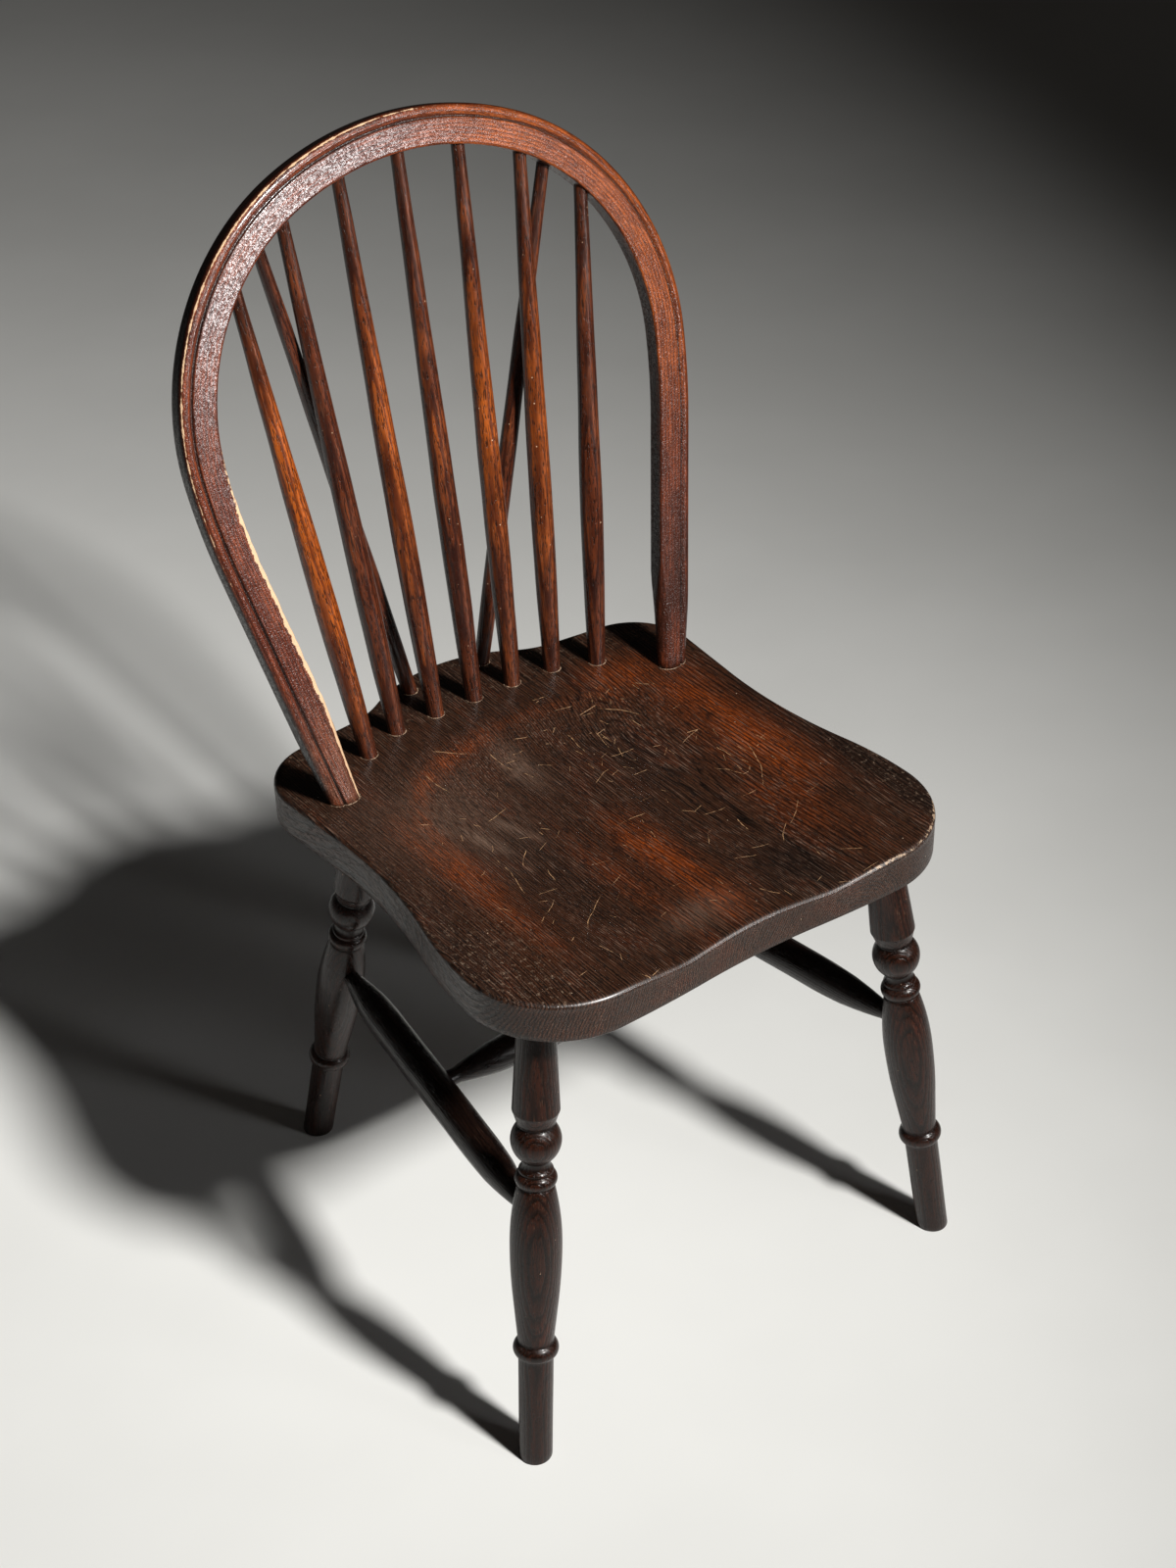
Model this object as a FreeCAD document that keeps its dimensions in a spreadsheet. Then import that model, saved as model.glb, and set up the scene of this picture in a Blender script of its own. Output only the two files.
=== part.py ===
import FreeCAD, Part
import os
from math import atan2, cos, radians, sin, sqrt

import Sketcher

# Hoop-back Windsor side chair, turned and bent in one dark hardwood.
# Millimetres, Z up. X runs across the chair, +Y is the back, the floor is Z = 0 and the
# origin lies on the floor below the middle of the chair's outer size.

V = FreeCAD.Vector
doc = FreeCAD.newDocument("chair")
sheet = doc.addObject("Spreadsheet::Sheet", "Dims")

DIMS = {
    # seat board
    "seat_top": 440.0,
    "seat_thick": 35.0,
    "saddle_depth": 11.0,
    "top_arris": 4.0,
    "under_bevel": 3.0,
    # bent hoop
    "hoop_width": 30.0,
    "hoop_depth": 17.0,
    "hoop_lean": 15.5,
    "hoop_base_y": 87.7,
    "hoop_base_half": 159.5,
    "hoop_splay": 11.8,
    "hoop_rise": 203.7,
    "spring_radius": 537.0,
    "spring_turn": 7.86,
    "shoulder_radius": 189.3,
    "shoulder_turn": 69.8,
    "bead_radius": 5.0,
    "scribe_depth": 1.7,
    "hoop_tenon_dia": 16.4,
    # sticks and braces
    "stick_seat_dia": 14.0,
    "stick_belly_dia": 18.5,
    "stick_tip_dia": 10.4,
    "brace_seat_dia": 12.6,
    "brace_belly_dia": 14.6,
    "brace_tip_dia": 10.0,
    "stick_bottom_depth": 20.0,
    "stick_top_depth": 14.0,
    # turned legs
    "foot_dia": 26.4,
    "ring_dia": 35.8,
    "vase_dia": 40.0,
    "collar_dia": 32.4,
    "ball_dia": 38.6,
    "cone_dia": 36.0,
    "leg_tenon_dia": 24.0,
    "leg_tenon_depth": 24.0,
    # stretchers
    "rail_belly_dia": 29.0,
    "rail_tenon_dia": 14.0,
    # fits
    "glue_gap": 0.05,
    "socket_space": 1.0,
}
for row, (alias, number) in enumerate(DIMS.items(), 1):
    sheet.set("A%d" % row, alias)
    sheet.set("B%d" % row, str(number))
    sheet.setAlias("B%d" % row, alias)
doc.recompute()


def bound(alias, factor=1.0):
    """A number taken from the sheet, kept with the expression that drives it."""
    return (DIMS[alias] * factor, "Dims.%s * %r" % (alias, factor))


def number(value):
    return value[0] if isinstance(value, tuple) else value


def origin_plane(body, role):
    for feature in body.Origin.OriginFeatures:
        if feature.Role == role:
            return feature
    raise ValueError(role)


def new_sketch(body, name, role="XZ_Plane", offset=None):
    sketch = body.newObject("Sketcher::SketchObject", name)
    sketch.AttachmentSupport = [(origin_plane(body, role), "")]
    sketch.MapMode = "FlatFace"
    if offset is not None:
        sketch.AttachmentOffset = offset
    return sketch


def pin(sketch, geo, pos, axis, value):
    """Hold one coordinate of a sketch point, driven by the sheet where it is bound."""
    size = number(value)
    if abs(size) < 1e-9:
        sketch.addConstraint(Sketcher.Constraint("PointOnObject", geo, pos, -2 if axis == "X" else -1))
        return
    ends = (-1, 1, geo, pos) if size > 0 else (geo, pos, -1, 1)
    index = sketch.addConstraint(Sketcher.Constraint("Distance" + axis, *ends, abs(size)))
    if isinstance(value, tuple):
        label = "pin_%d" % index
        sketch.renameConstraint(index, label)
        sketch.setExpression("Constraints." + label, value[1] if size > 0 else "-(%s)" % value[1])


def arc_between(start, end, radius):
    """Arc from start to end; a positive radius turns left, a negative one turns right."""
    chord = V(end[0] - start[0], end[1] - start[1], 0)
    half = chord.Length / 2
    size = max(abs(radius), half * 1.000001)
    side = 1 if radius > 0 else -1
    normal = V(-chord.y, chord.x, 0).normalize() * side
    middle = V((start[0] + end[0]) / 2, (start[1] + end[1]) / 2, 0)
    centre = middle + normal * sqrt(size * size - half * half)
    first = atan2(start[1] - centre.y, start[0] - centre.x)
    last = atan2(end[1] - centre.y, end[0] - centre.x)
    circle = Part.Circle(centre, V(0, 0, 1), size)
    if side > 0:
        return Part.ArcOfCircle(circle, first, last)
    return Part.ArcOfCircle(circle, last, first)


def outline(sketch, start, legs, closed=True):
    """Draw a chain of lines and arcs. Each leg is (x, y) or (x, y, radius)."""
    points = [start] + [leg[:2] for leg in legs]
    count = len(legs)
    starts = []
    for index, leg in enumerate(legs):
        p = tuple(number(v) for v in points[index])
        q = tuple(number(v) for v in leg[:2])
        if len(leg) == 3:
            sketch.addGeometry(arc_between(p, q, number(leg[2])), False)
            starts.append(1 if number(leg[2]) > 0 else 2)
        else:
            sketch.addGeometry(Part.LineSegment(V(p[0], p[1], 0), V(q[0], q[1], 0)), False)
            starts.append(1)
    for index in range(count if closed else count - 1):
        following = (index + 1) % count
        sketch.addConstraint(Sketcher.Constraint(
            "Coincident", index, 3 - starts[index], following, starts[following]))
    for index, leg in enumerate(legs):
        pin(sketch, index, starts[index], "X", points[index][0])
        pin(sketch, index, starts[index], "Y", points[index][1])
        if len(leg) == 3:
            held = sketch.addConstraint(Sketcher.Constraint("Radius", index, abs(number(leg[2]))))
            if isinstance(leg[2], tuple):
                sketch.renameConstraint(held, "curve_%d" % index)
                sketch.setExpression("Constraints.curve_%d" % index, "abs(%s)" % leg[2][1])
    if not closed:
        pin(sketch, count - 1, 3 - starts[-1], "X", legs[-1][0])
        pin(sketch, count - 1, 3 - starts[-1], "Y", legs[-1][1])


def turned(name, start, legs):
    """Revolve a half profile drawn as (radius, height along the axis)."""
    body = doc.addObject("PartDesign::Body", name)
    sketch = new_sketch(body, name + "_profile")
    outline(sketch, start, legs)
    spin = body.newObject("PartDesign::Revolution", name + "_turning")
    spin.Profile = sketch
    spin.ReferenceAxis = (sketch, ["V_Axis"])
    spin.Angle = 360.0
    sketch.Visibility = False
    body.Tip = spin
    return body


def along(start, end):
    """Placement that lays the local Z axis on the line from start to end."""
    return FreeCAD.Placement(start, FreeCAD.Rotation(V(0, 0, 1), end - start))


def peg_hole(name, alias, base, direction, length, extra=0.0):
    """A bored hole: a cylinder driven by the peg's diameter plus the glue gap."""
    hole = doc.addObject("Part::Cylinder", name)
    hole.setExpression("Radius", "Dims.%s / 2 + Dims.glue_gap" % alias)
    hole.Height = length + extra
    hole.Placement = FreeCAD.Placement(base, FreeCAD.Rotation(V(0, 0, 1), direction))
    return hole


def slab(name, corner, size):
    box = doc.addObject("Part::Box", name)
    box.Length, box.Width, box.Height = size
    box.Placement.Base = corner
    return box


def cut(name, base, tools):
    """Take one tool, or several fused tools, away from a solid."""
    tool = tools[0]
    if len(tools) > 1:
        tool = doc.addObject("Part::MultiFuse", name + "_tools")
        tool.Shapes = tools
    result = doc.addObject("Part::Cut", name)
    result.Base = base
    result.Tool = tool
    return result


# Frames of the leaning hoop

lean = radians(DIMS["hoop_lean"])
splay = radians(DIMS["hoop_splay"])
seat_z = DIMS["seat_top"]
under_z = seat_z - DIMS["seat_thick"]
foot_drop = 60.0
HOOP_UP = V(0, sin(lean), cos(lean))
HOOP_FRONT = V(0, -cos(lean), sin(lean))
HOOP_BASE = V(0, DIMS["hoop_base_y"], seat_z)


def on_hoop(across, height, depth=0.0):
    """Point on the leaning hoop plane; height is world Z above the floor."""
    up = (height - seat_z) / cos(lean)
    return HOOP_BASE + V(across, 0, 0) + HOOP_UP * up + HOOP_FRONT * depth


def hoop_path():
    """Half of the bent centreline, from below the right-hand socket up to the crown.

    Gives the start, the legs of the outline, then (centre, radius, last heading) of each arc.
    """
    heading = 90.0 - DIMS["hoop_splay"]
    ux, uy = cos(radians(heading)), sin(radians(heading))
    x, y = DIMS["hoop_base_half"] - foot_drop * ux, -foot_drop * uy
    start = (x, y)
    x += (foot_drop + DIMS["hoop_rise"]) * ux
    y += (foot_drop + DIMS["hoop_rise"]) * uy
    legs, arcs = [(x, y)], []
    for bend_name in ("spring", "shoulder", "crown"):
        if bend_name == "crown":
            radius = x / sin(radians(heading))
            turn = 180.0 - heading
        else:
            radius = DIMS[bend_name + "_radius"]
            turn = DIMS[bend_name + "_turn"]
        cx = x - radius * sin(radians(heading))
        cy = y + radius * cos(radians(heading))
        heading += turn
        x = cx + radius * sin(radians(heading))
        y = cy - radius * cos(radians(heading))
        legs.append((x, y, radius))
        arcs.append((cx, cy, radius, heading))
    return start, legs, arcs


def under_hoop(across):
    """World height at which the hoop's inner edge passes over a place across the chair."""
    half_width = DIMS["hoop_width"] / 2
    _, _, (_, shoulder, crown) = hoop_path()
    crown_half = (crown[2] - half_width) * sin(radians(shoulder[3]))
    cx, cy, radius, _ = crown if abs(across) < crown_half else shoulder
    inner = radius - half_width
    return seat_z + (cy + sqrt(inner ** 2 - (abs(across) - cx) ** 2)) * cos(lean)


# Axes of the legs, then the sticks and the two braces behind them

LEG_AXES = {
    "leg_front_left": (V(-210.4, -215.5, 0), V(-160.7, -168.9, 440)),
    "leg_front_right": (V(210.4, -215.5, 0), V(160.7, -168.9, 440)),
    "leg_rear_left": (V(-149.0, 212.3, 0), V(-125.0, 104.4, 440)),
    "leg_rear_right": (V(149.0, 212.3, 0), V(125.0, 104.4, 440)),
}
# where each stick stands on the seat (x, y), then how far across it meets the hoop
STICKS = [
    ((-113.1, 128.0), -154.5),
    ((-77.0, 142.6), -105.3),
    ((-38.0, 144.8), -52.9),
    ((0.0, 145.0), 0.0),
    ((38.0, 144.8), 52.9),
    ((77.0, 142.6), 105.3),
    ((113.1, 128.0), 154.5),
]
BRACES = {
    "brace_left": ((-36.0, 186.5), -127.1),
    "brace_right": ((36.0, 186.5), 127.1),
}
BRACE_SET_BACK = 4.5
# height above the seat along the hoop's foot, shift outward, half width, half depth
FOOT_OVALS = [
    (-60.0, 1.5, 12.5, 8.7),
    (-4.0, 1.5, 12.5, 8.7),
    (34.0, 1.2, 14.7, 10.0),
    (104.0, 0.0, 20.6, 13.2),
]


def leg_point(name, height):
    foot, head = LEG_AXES[name]
    return foot + (head - foot) * (height / 440.0)


# Seat board

def seat_outline():
    """Half outline from the front centre, as arcs and lines that run into each other."""
    steps = [
        (-700.0, 4.4), (1000.0, 4.4), (80.0, 90.0), (300.0, 13.06), (-434.6, 17.56),
        (None, 66.0), (54.0, 88.5), (None, 49.0), (-75.0, 27.0),
    ]
    x, y, heading = 0.0, -226.7, 0.0
    legs = []
    for radius, amount in steps:
        if radius is None:
            x += amount * cos(radians(heading))
            y += amount * sin(radians(heading))
            legs.append((x, y))
            continue
        turn = amount if radius > 0 else -amount
        cx = x - radius * sin(radians(heading))
        cy = y + radius * cos(radians(heading))
        heading += turn
        x = cx + radius * sin(radians(heading))
        y = cy - radius * cos(radians(heading))
        legs.append((x, y, radius))
    tail = x / sin(radians(180.0 - heading))
    return legs, tail


def step(value, low, high):
    """Soft step from nought at low to one at high."""
    ratio = min(1.0, max(0.0, (value - low) / (high - low)))
    return ratio * ratio * (3.0 - 2.0 * ratio)


def saddle(x, y):
    """Depth of the dish: two thigh hollows, a low ridge between them, a raised rear rim."""
    side = abs(x)
    if y < -40.0:
        reach = side / (124.0 + 31.0 * step(y, -231.0, -60.0))
    else:
        reach = ((side / 155.0) ** 2.5 + ((y + 40.0) / 150.0) ** 2.5) ** 0.4
    bowl = step(1.04 - reach, 0.0, 0.52)
    front = 0.40 + 0.60 * step(y, -240.0, -70.0)
    crest = 0.78 - 0.68 * step(y, -230.0, 90.0)
    ridge = 1.0 - crest * max(0.0, 1.0 - (x / 75.0) ** 2) ** 2
    return DIMS["saddle_depth"] * bowl * front * ridge


def saddle_surface():
    """Smooth surface that follows the dish and lies flat on the seat's top elsewhere."""
    columns = [-245.0 + 17.5 * i for i in range(29)]
    rows = [-265.0 + 17.5 * i for i in range(30)]
    poles = [[V(x, y, seat_z - saddle(x, y)) for y in rows] for x in columns]
    surface = Part.BSplineSurface()
    spans_x, spans_y = len(columns) - 3, len(rows) - 3
    surface.buildFromPolesMultsKnots(
        poles,
        [4] + [1] * (spans_x - 1) + [4], [4] + [1] * (spans_y - 1) + [4],
        list(range(spans_x + 1)), list(range(spans_y + 1)), False, False, 3, 3)
    return surface


seat_body = doc.addObject("PartDesign::Body", "seat_board")
seat_underside = FreeCAD.Placement(V(0, 0, under_z), FreeCAD.Rotation())
plan = new_sketch(seat_body, "seat_plan", "XY_Plane", seat_underside)
half, tail_radius = seat_outline()
left = []
chain = [(0.0, -226.7)] + [leg[:2] for leg in half]
for index in range(len(half) - 1, 0, -1):
    px, py = chain[index]
    radius = half[index][2:]
    left.append((-px, py) + radius)
last_x, last_y = chain[-1]
first_x, first_y = chain[1]
legs = half[1:] + [(-last_x, last_y, tail_radius)] + left + [(first_x, first_y, half[0][2])]
outline(plan, (first_x, first_y), legs)
board = seat_body.newObject("PartDesign::Pad", "seat_blank")
board.Profile = plan
board.setExpression("Length", "Dims.seat_thick")
plan.Visibility = False
doc.recompute()

shaver = doc.addObject("Part::Feature", "saddle_shaver")
shaver.Shape = saddle_surface().toShape().extrude(V(0, 0, 40))
carved = cut("seat_carved", seat_body, [shaver])
doc.recompute()


def rim_edges(shape, low, high):
    """Names of the edges that run round the board's outline between two heights."""
    names = []
    for index, edge in enumerate(shape.Edges, 1):
        middle = edge.valueAt((edge.FirstParameter + edge.LastParameter) / 2)
        bottom = min(v.Z for v in edge.Vertexes)
        top = max(v.Z for v in edge.Vertexes)
        if low <= bottom and top <= high and low <= middle.z <= high:
            names.append(index)
    return names


top_rim = rim_edges(carved.Shape, seat_z - 20, seat_z + 1)
rounded = doc.addObject("Part::Fillet", "seat_rounded")
rounded.Base = carved
rounded.Edges = [(i, DIMS["top_arris"], DIMS["top_arris"]) for i in top_rim]
doc.recompute()
under_rim = rim_edges(rounded.Shape, under_z - 0.1, under_z + 0.1)
bevelled = doc.addObject("Part::Chamfer", "seat_bevelled")
bevelled.Base = rounded
bevelled.Edges = [(i, DIMS["under_bevel"], DIMS["under_bevel"]) for i in under_rim]
doc.recompute()


# Sticks and braces

def spindle(name, kind, foot, tip, below, above):
    """Cigar-turned stick from a point on the seat to the hoop's inner edge, with its pegs."""
    length = (tip - foot).Length
    seat_r = bound(kind + "_seat_dia", 0.5)
    belly_r = bound(kind + "_belly_dia", 0.5)
    tip_r = bound(kind + "_tip_dia", 0.5)
    belly, shoulder, tip_start = 0.31 * length, 0.52 * length, length - 9.0
    fall = (belly_r[0] - tip_r[0]) / (tip_start - (belly + shoulder) / 2)
    shoulder_r = belly_r[0] - fall * (shoulder - belly) / 2
    swell = belly_r[0] - seat_r[0]
    low_radius = ((belly - 6.0) ** 2 + swell ** 2) / (2 * swell)
    high_radius = (shoulder - belly) / sin(atan2(fall, 1.0))
    body = turned(name + "_turned", (0.0, -below), [
        (seat_r, -below),
        (seat_r, 6.0),
        (belly_r, belly, low_radius),
        (shoulder_r, shoulder, high_radius),
        (tip_r, tip_start),
        (tip_r, length + above),
        (0.0, length + above),
        (0.0, -below),
    ])
    body.Placement = along(foot, tip)
    return body


parts = {}
seat_holes = []
hoop_holes = []
depth_in = DIMS["stick_bottom_depth"]
depth_up = DIMS["stick_top_depth"]
space = DIMS["socket_space"]


def add_spindle(name, kind, foot, tip):
    parts[name] = spindle(name, kind, foot, tip, depth_in, depth_up)
    way = (tip - foot).normalize()
    seat_holes.append(peg_hole(
        name + "_seat_hole", kind + "_seat_dia", foot - way * (depth_in + space), way,
        depth_in + space, 8.0))
    hoop_holes.append(peg_hole(
        name + "_hoop_hole", kind + "_tip_dia", tip - way * 8.0, way, 8.0 + depth_up + space))


for order, ((fx, fy), across) in enumerate(STICKS, 1):
    tip = on_hoop(across, under_hoop(across))
    add_spindle("stick_%d" % order, "stick", V(fx, fy, seat_z), tip)
for name, ((fx, fy), across) in BRACES.items():
    tip = on_hoop(across, under_hoop(across), -BRACE_SET_BACK)
    add_spindle(name, "brace", V(fx, fy, seat_z), tip)


# Bent hoop

hoop_body = doc.addObject("PartDesign::Body", "hoop_bent")
leaning = FreeCAD.Placement(
    V(0, seat_z, -DIMS["hoop_base_y"]), FreeCAD.Rotation(V(1, 0, 0), -DIMS["hoop_lean"]))
bend = new_sketch(hoop_body, "hoop_centreline", "XZ_Plane", leaning)
bend.setExpression(".AttachmentOffset.Base.y", "Dims.seat_top")
start, half_bend, _ = hoop_path()
crown_radius = half_bend.pop()[2]
chain = [start] + [leg[:2] for leg in half_bend]
mirrored = []
for index in range(len(half_bend) - 1, -1, -1):
    mirrored.append((-chain[index][0], chain[index][1]) + half_bend[index][2:])
spring, shoulder = half_bend[1], half_bend[2]
way_round = [
    half_bend[0],
    spring[:2] + (bound("spring_radius"),),
    shoulder[:2] + (bound("shoulder_radius"),),
    (-shoulder[0], shoulder[1], crown_radius),
] + mirrored
outline(bend, start, way_round, closed=False)

rising = V(sin(splay), 0, 0) + HOOP_UP * cos(splay)
outward = V(cos(splay), 0, 0) - HOOP_UP * sin(splay)
foot_point = HOOP_BASE + V(DIMS["hoop_base_half"], 0, 0)
section_at = HOOP_BASE + V(start[0], 0, 0) + HOOP_UP * start[1]
upright = FreeCAD.Placement(V(0, 0, 0), FreeCAD.Rotation(V(1, 0, 0), 90))


def frame_at(origin, across, normal):
    """Offset from the XZ plane to a sketch whose X is across and whose Z is normal."""
    turn = FreeCAD.Rotation(across, V(0, 0, 0), normal, "XZY")
    return upright.inverse().multiply(FreeCAD.Placement(origin, turn))


across_foot = frame_at(section_at, outward, rising * -1)
section = new_sketch(hoop_body, "hoop_section", "XZ_Plane", across_foot)
hw, hd = DIMS["hoop_width"] / 2, DIMS["hoop_depth"] / 2
bead, scribe = DIMS["bead_radius"], DIMS["scribe_depth"]
bead_x, bead_y = hw - bead, hd - bead
groove_y = hd - scribe
groove_in = bead_x - sqrt(bead * bead - (groove_y - bead_y) ** 2)
outline(section, (-bound("hoop_width", 0.5)[0], -hd + 3.0), [
    (-hw + 3.0, -hd, 3.0),
    (hw - 3.5, -hd),
    (bound("hoop_width", 0.5), -hd + 3.5, 3.5),
    (bound("hoop_width", 0.5), bead_y),
    (bead_x, bound("hoop_depth", 0.5), bead),
    (groove_in, groove_y, bead),
    (groove_in - 0.9, groove_y),
    (groove_in - 1.5, hd),
    (-hw + 1.8, bound("hoop_depth", 0.5)),
    (-hw, hd - 1.8, 1.8),
    (-hw, -hd + 3.0),
])
sweep = hoop_body.newObject("PartDesign::AdditivePipe", "hoop_sweep")
sweep.Profile = section
sweep.Spine = (bend, ["Edge%d" % (i + 1) for i in range(len(way_round))])
sweep.Mode = "Standard"
doc.recompute()

for item in (bend, section):
    item.Visibility = False

# Each foot is shaved to an oval that stands a little outward, since more comes off its inner side.
along_foot = FreeCAD.Rotation(outward, rising.cross(outward), rising, "ZXY")
ovals = []
for order, (height, shift, half_across, half_deep) in enumerate(FOOT_OVALS, 1):
    oval = doc.addObject("Part::Ellipse", "hoop_foot_oval_%d" % order)
    oval.MajorRadius, oval.MinorRadius = half_across, half_deep
    oval.Placement = FreeCAD.Placement(
        foot_point + rising * height + outward * shift, along_foot)
    oval.Visibility = False
    ovals.append(oval)
foot_form = doc.addObject("Part::Loft", "hoop_foot_form")
foot_form.Sections = ovals
foot_form.Solid = True
foot_block = doc.addObject("Part::Box", "hoop_foot_block")
low, high = FOOT_OVALS[0][0] + 4.0, FOOT_OVALS[-1][0] - 4.0
foot_block.Length, foot_block.Width, foot_block.Height = 70.0, 70.0, high - low
foot_block.Placement = FreeCAD.Placement(
    foot_point + rising * low + along_foot.multVec(V(-35.0, -35.0, 0)), along_foot)
foot_shave = cut("hoop_foot_shave", foot_block, [foot_form])
other_shave = doc.addObject("Part::Mirroring", "hoop_foot_shave_left")
other_shave.Source = foot_shave
other_shave.Base = V(0, 0, 0)
other_shave.Normal = V(1, 0, 0)
doc.recompute()

big = 1200.0
below_seat = slab("below_seat_top", V(-big / 2, -big / 2, seat_z - 200.0), (big, big, 200.0))
tenons = []
wedge_blanks = {}
through = DIMS["seat_thick"] / (cos(lean) * cos(splay)) + 12.0
for side, hand in (("left", -1.0), ("right", 1.0)):
    base = V(hand * foot_point.x, foot_point.y, foot_point.z)
    way = V(hand * rising.x, rising.y, rising.z)
    across = V(hand * outward.x, outward.y, outward.z)
    peg = doc.addObject("Part::Cylinder", "hoop_tenon_" + side)
    peg.setExpression("Radius", "Dims.hoop_tenon_dia / 2")
    peg.Height = through + 12.0
    peg.Placement = FreeCAD.Placement(base - way * through, FreeCAD.Rotation(V(0, 0, 1), way))
    tenons.append(peg)
    seat_holes.append(peg_hole(
        "hoop_hole_" + side, "hoop_tenon_dia", base - way * (through + 10.0), way,
        through + 20.0, 14.0))
    wedge = doc.addObject("Part::Wedge", "wedge_blank_" + side)
    wedge.Xmin, wedge.Xmax, wedge.X2min, wedge.X2max = -12.0, 12.0, -12.0, 12.0
    wedge.Ymin, wedge.Ymax = 0.0, 36.0
    wedge.Zmin, wedge.Zmax, wedge.Z2min, wedge.Z2max = -2.0, 2.0, -0.5, 0.5
    turn = FreeCAD.Rotation(across, way, V(0, 0, 0), "YXZ")
    wedge.Placement = FreeCAD.Placement(base - way * (through - 3.0), turn)
    wedge_blanks[side] = wedge

trimmed_hoop = cut("hoop_above_seat", hoop_body, [below_seat, foot_shave, other_shave])
joined = doc.addObject("Part::MultiFuse", "hoop_with_tenons")
joined.Shapes = [trimmed_hoop] + tenons
joined.Refine = True
under_seat = slab("under_seat", V(-big / 2, -big / 2, under_z - 200.0), (big, big, 200.0))
flush = cut("hoop_flush", joined, [under_seat])
doc.recompute()
for side, hand in (("left", -1.0), ("right", 1.0)):
    common = doc.addObject("Part::Common", "wedge_in_tenon_" + side)
    common.Base = tenons[0 if side == "left" else 1]
    common.Tool = wedge_blanks[side]
    parts["hoop_wedge_" + side] = cut("wedge_" + side, common, [under_seat])
parts["hoop"] = cut("hoop_bored", flush, hoop_holes + [wedge_blanks["left"], wedge_blanks["right"]])
doc.recompute()


# Turned legs

def turned_leg(name):
    """One pattern for all four: foot, ring, vase, collar, ball and a tapering cone."""
    foot_r = bound("foot_dia", 0.5)
    ring_r = bound("ring_dia", 0.5)
    vase_r = bound("vase_dia", 0.5)
    collar_r = bound("collar_dia", 0.5)
    ball = DIMS["ball_dia"] / 2
    cone_r = bound("cone_dia", 0.5)
    foot, head = LEG_AXES[name]
    length = (head - foot).Length
    seat_at = length * under_z / 440.0
    top = seat_at + 6.0
    ball_z, ball_high = 296.3, 309.3
    high_r = sqrt(ball ** 2 - (ball_high - ball_z) ** 2)

    def bulge(radius, root, half):
        rise = radius - root
        return (half ** 2 + rise ** 2) / (2 * rise)

    ring_curve = bulge(ring_r[0], 14.0, 6.6)
    collar_curve = bulge(collar_r[0], 13.3, 5.4)
    fillet_curve = bulge(13.3, 12.5, 1.6)
    low_vase = (51.0 ** 2 + (vase_r[0] - 17.7) ** 2) / (2 * (vase_r[0] - 17.7))
    high_vase = (53.0 ** 2 + (vase_r[0] - 14.1) ** 2) / (2 * (vase_r[0] - 14.1))
    return turned(name + "_turned", (0.0, -12.0), [
        (foot_r, -12.0),
        (13.8, 97.8),
        (14.0, 98.4),
        (ring_r, 105.0, ring_curve),
        (14.0, 111.6, ring_curve),
        (13.6, 112.4),
        (14.1, 113.6),
        (17.7, 152.0),
        (vase_r, 203.0, low_vase),
        (14.1, 256.0, high_vase),
        (13.3, 256.8),
        (collar_r, 262.2, collar_curve),
        (13.3, 267.6, collar_curve),
        (12.5, 268.2),
        (13.3, 269.8, fillet_curve),
        (12.5, 271.4, fillet_curve),
        (10.9, 276.2, -7.0),
        (10.9, 278.4),
        (11.6, 279.6),
        (ball, ball_z, 22.4),
        (high_r, ball_high, ball),
        (13.5, 310.2),
        (14.5, 311.4),
        (17.3, 321.0),
        (cone_r, 323.6, 3.6),
        (14.1, seat_at - 2.0),
        (14.1, top),
        (0.0, top),
        (0.0, -12.0),
    ])


below_floor = slab("below_floor", V(-big / 2, -big / 2, -200.0), (big, big, 200.0))
leg_blanks = {}
above_underside = slab("above_underside", V(-big / 2, -big / 2, under_z), (big, big, 100.0))
for name, (foot, head) in LEG_AXES.items():
    body = turned_leg(name)
    body.Placement = along(foot, head)
    below = cut(name + "_to_the_seat", body, [above_underside])
    way = (head - foot).normalize()
    mouth = leg_point(name, under_z)
    peg = doc.addObject("Part::Cylinder", name + "_peg")
    peg.setExpression("Radius", "Dims.leg_tenon_dia / 2")
    peg.Height = DIMS["leg_tenon_depth"] + 20.0
    peg.Placement = FreeCAD.Placement(mouth - way * 20.0, FreeCAD.Rotation(V(0, 0, 1), way))
    pegged = doc.addObject("Part::MultiFuse", name + "_pegged")
    pegged.Shapes = [below, peg]
    leg_blanks[name] = pegged
    seat_holes.append(peg_hole(
        name + "_seat_hole", "leg_tenon_dia", mouth - way * 12.0, way,
        DIMS["leg_tenon_depth"] + space + 12.0))


# Stretchers

def rail(name, start, end, reach_in):
    """Slim-ended turned rail; reach_in is how far its pegs stop short of both points."""
    length = (end - start).Length
    peg_r = bound("rail_tenon_dia", 0.5)
    belly_r = bound("rail_belly_dia", 0.5)
    near, flank, full = 22.0, 0.175 * length, 0.285 * length
    flank_r = belly_r[0] - 1.2
    turn_r = ((full - flank) ** 2 + 1.2 ** 2) / (2 * 1.2)
    body = turned(name + "_turned", (0.0, reach_in), [
        (peg_r, reach_in),
        (peg_r, near),
        (flank_r, flank, 420.0),
        (belly_r, full, turn_r),
        (belly_r, length - full),
        (flank_r, length - flank, turn_r),
        (peg_r, length - near, 420.0),
        (peg_r, length - reach_in),
        (0.0, length - reach_in),
        (0.0, reach_in),
    ])
    body.Placement = along(start, end)
    return body


def rail_hole(name, start, end, reach_in):
    """Hole for a rail's peg, bored from past the surface inwards to the peg's end."""
    way = (end - start).normalize()
    return peg_hole(name, "rail_tenon_dia", start + way * (reach_in - space), way, 40.0)


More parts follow.
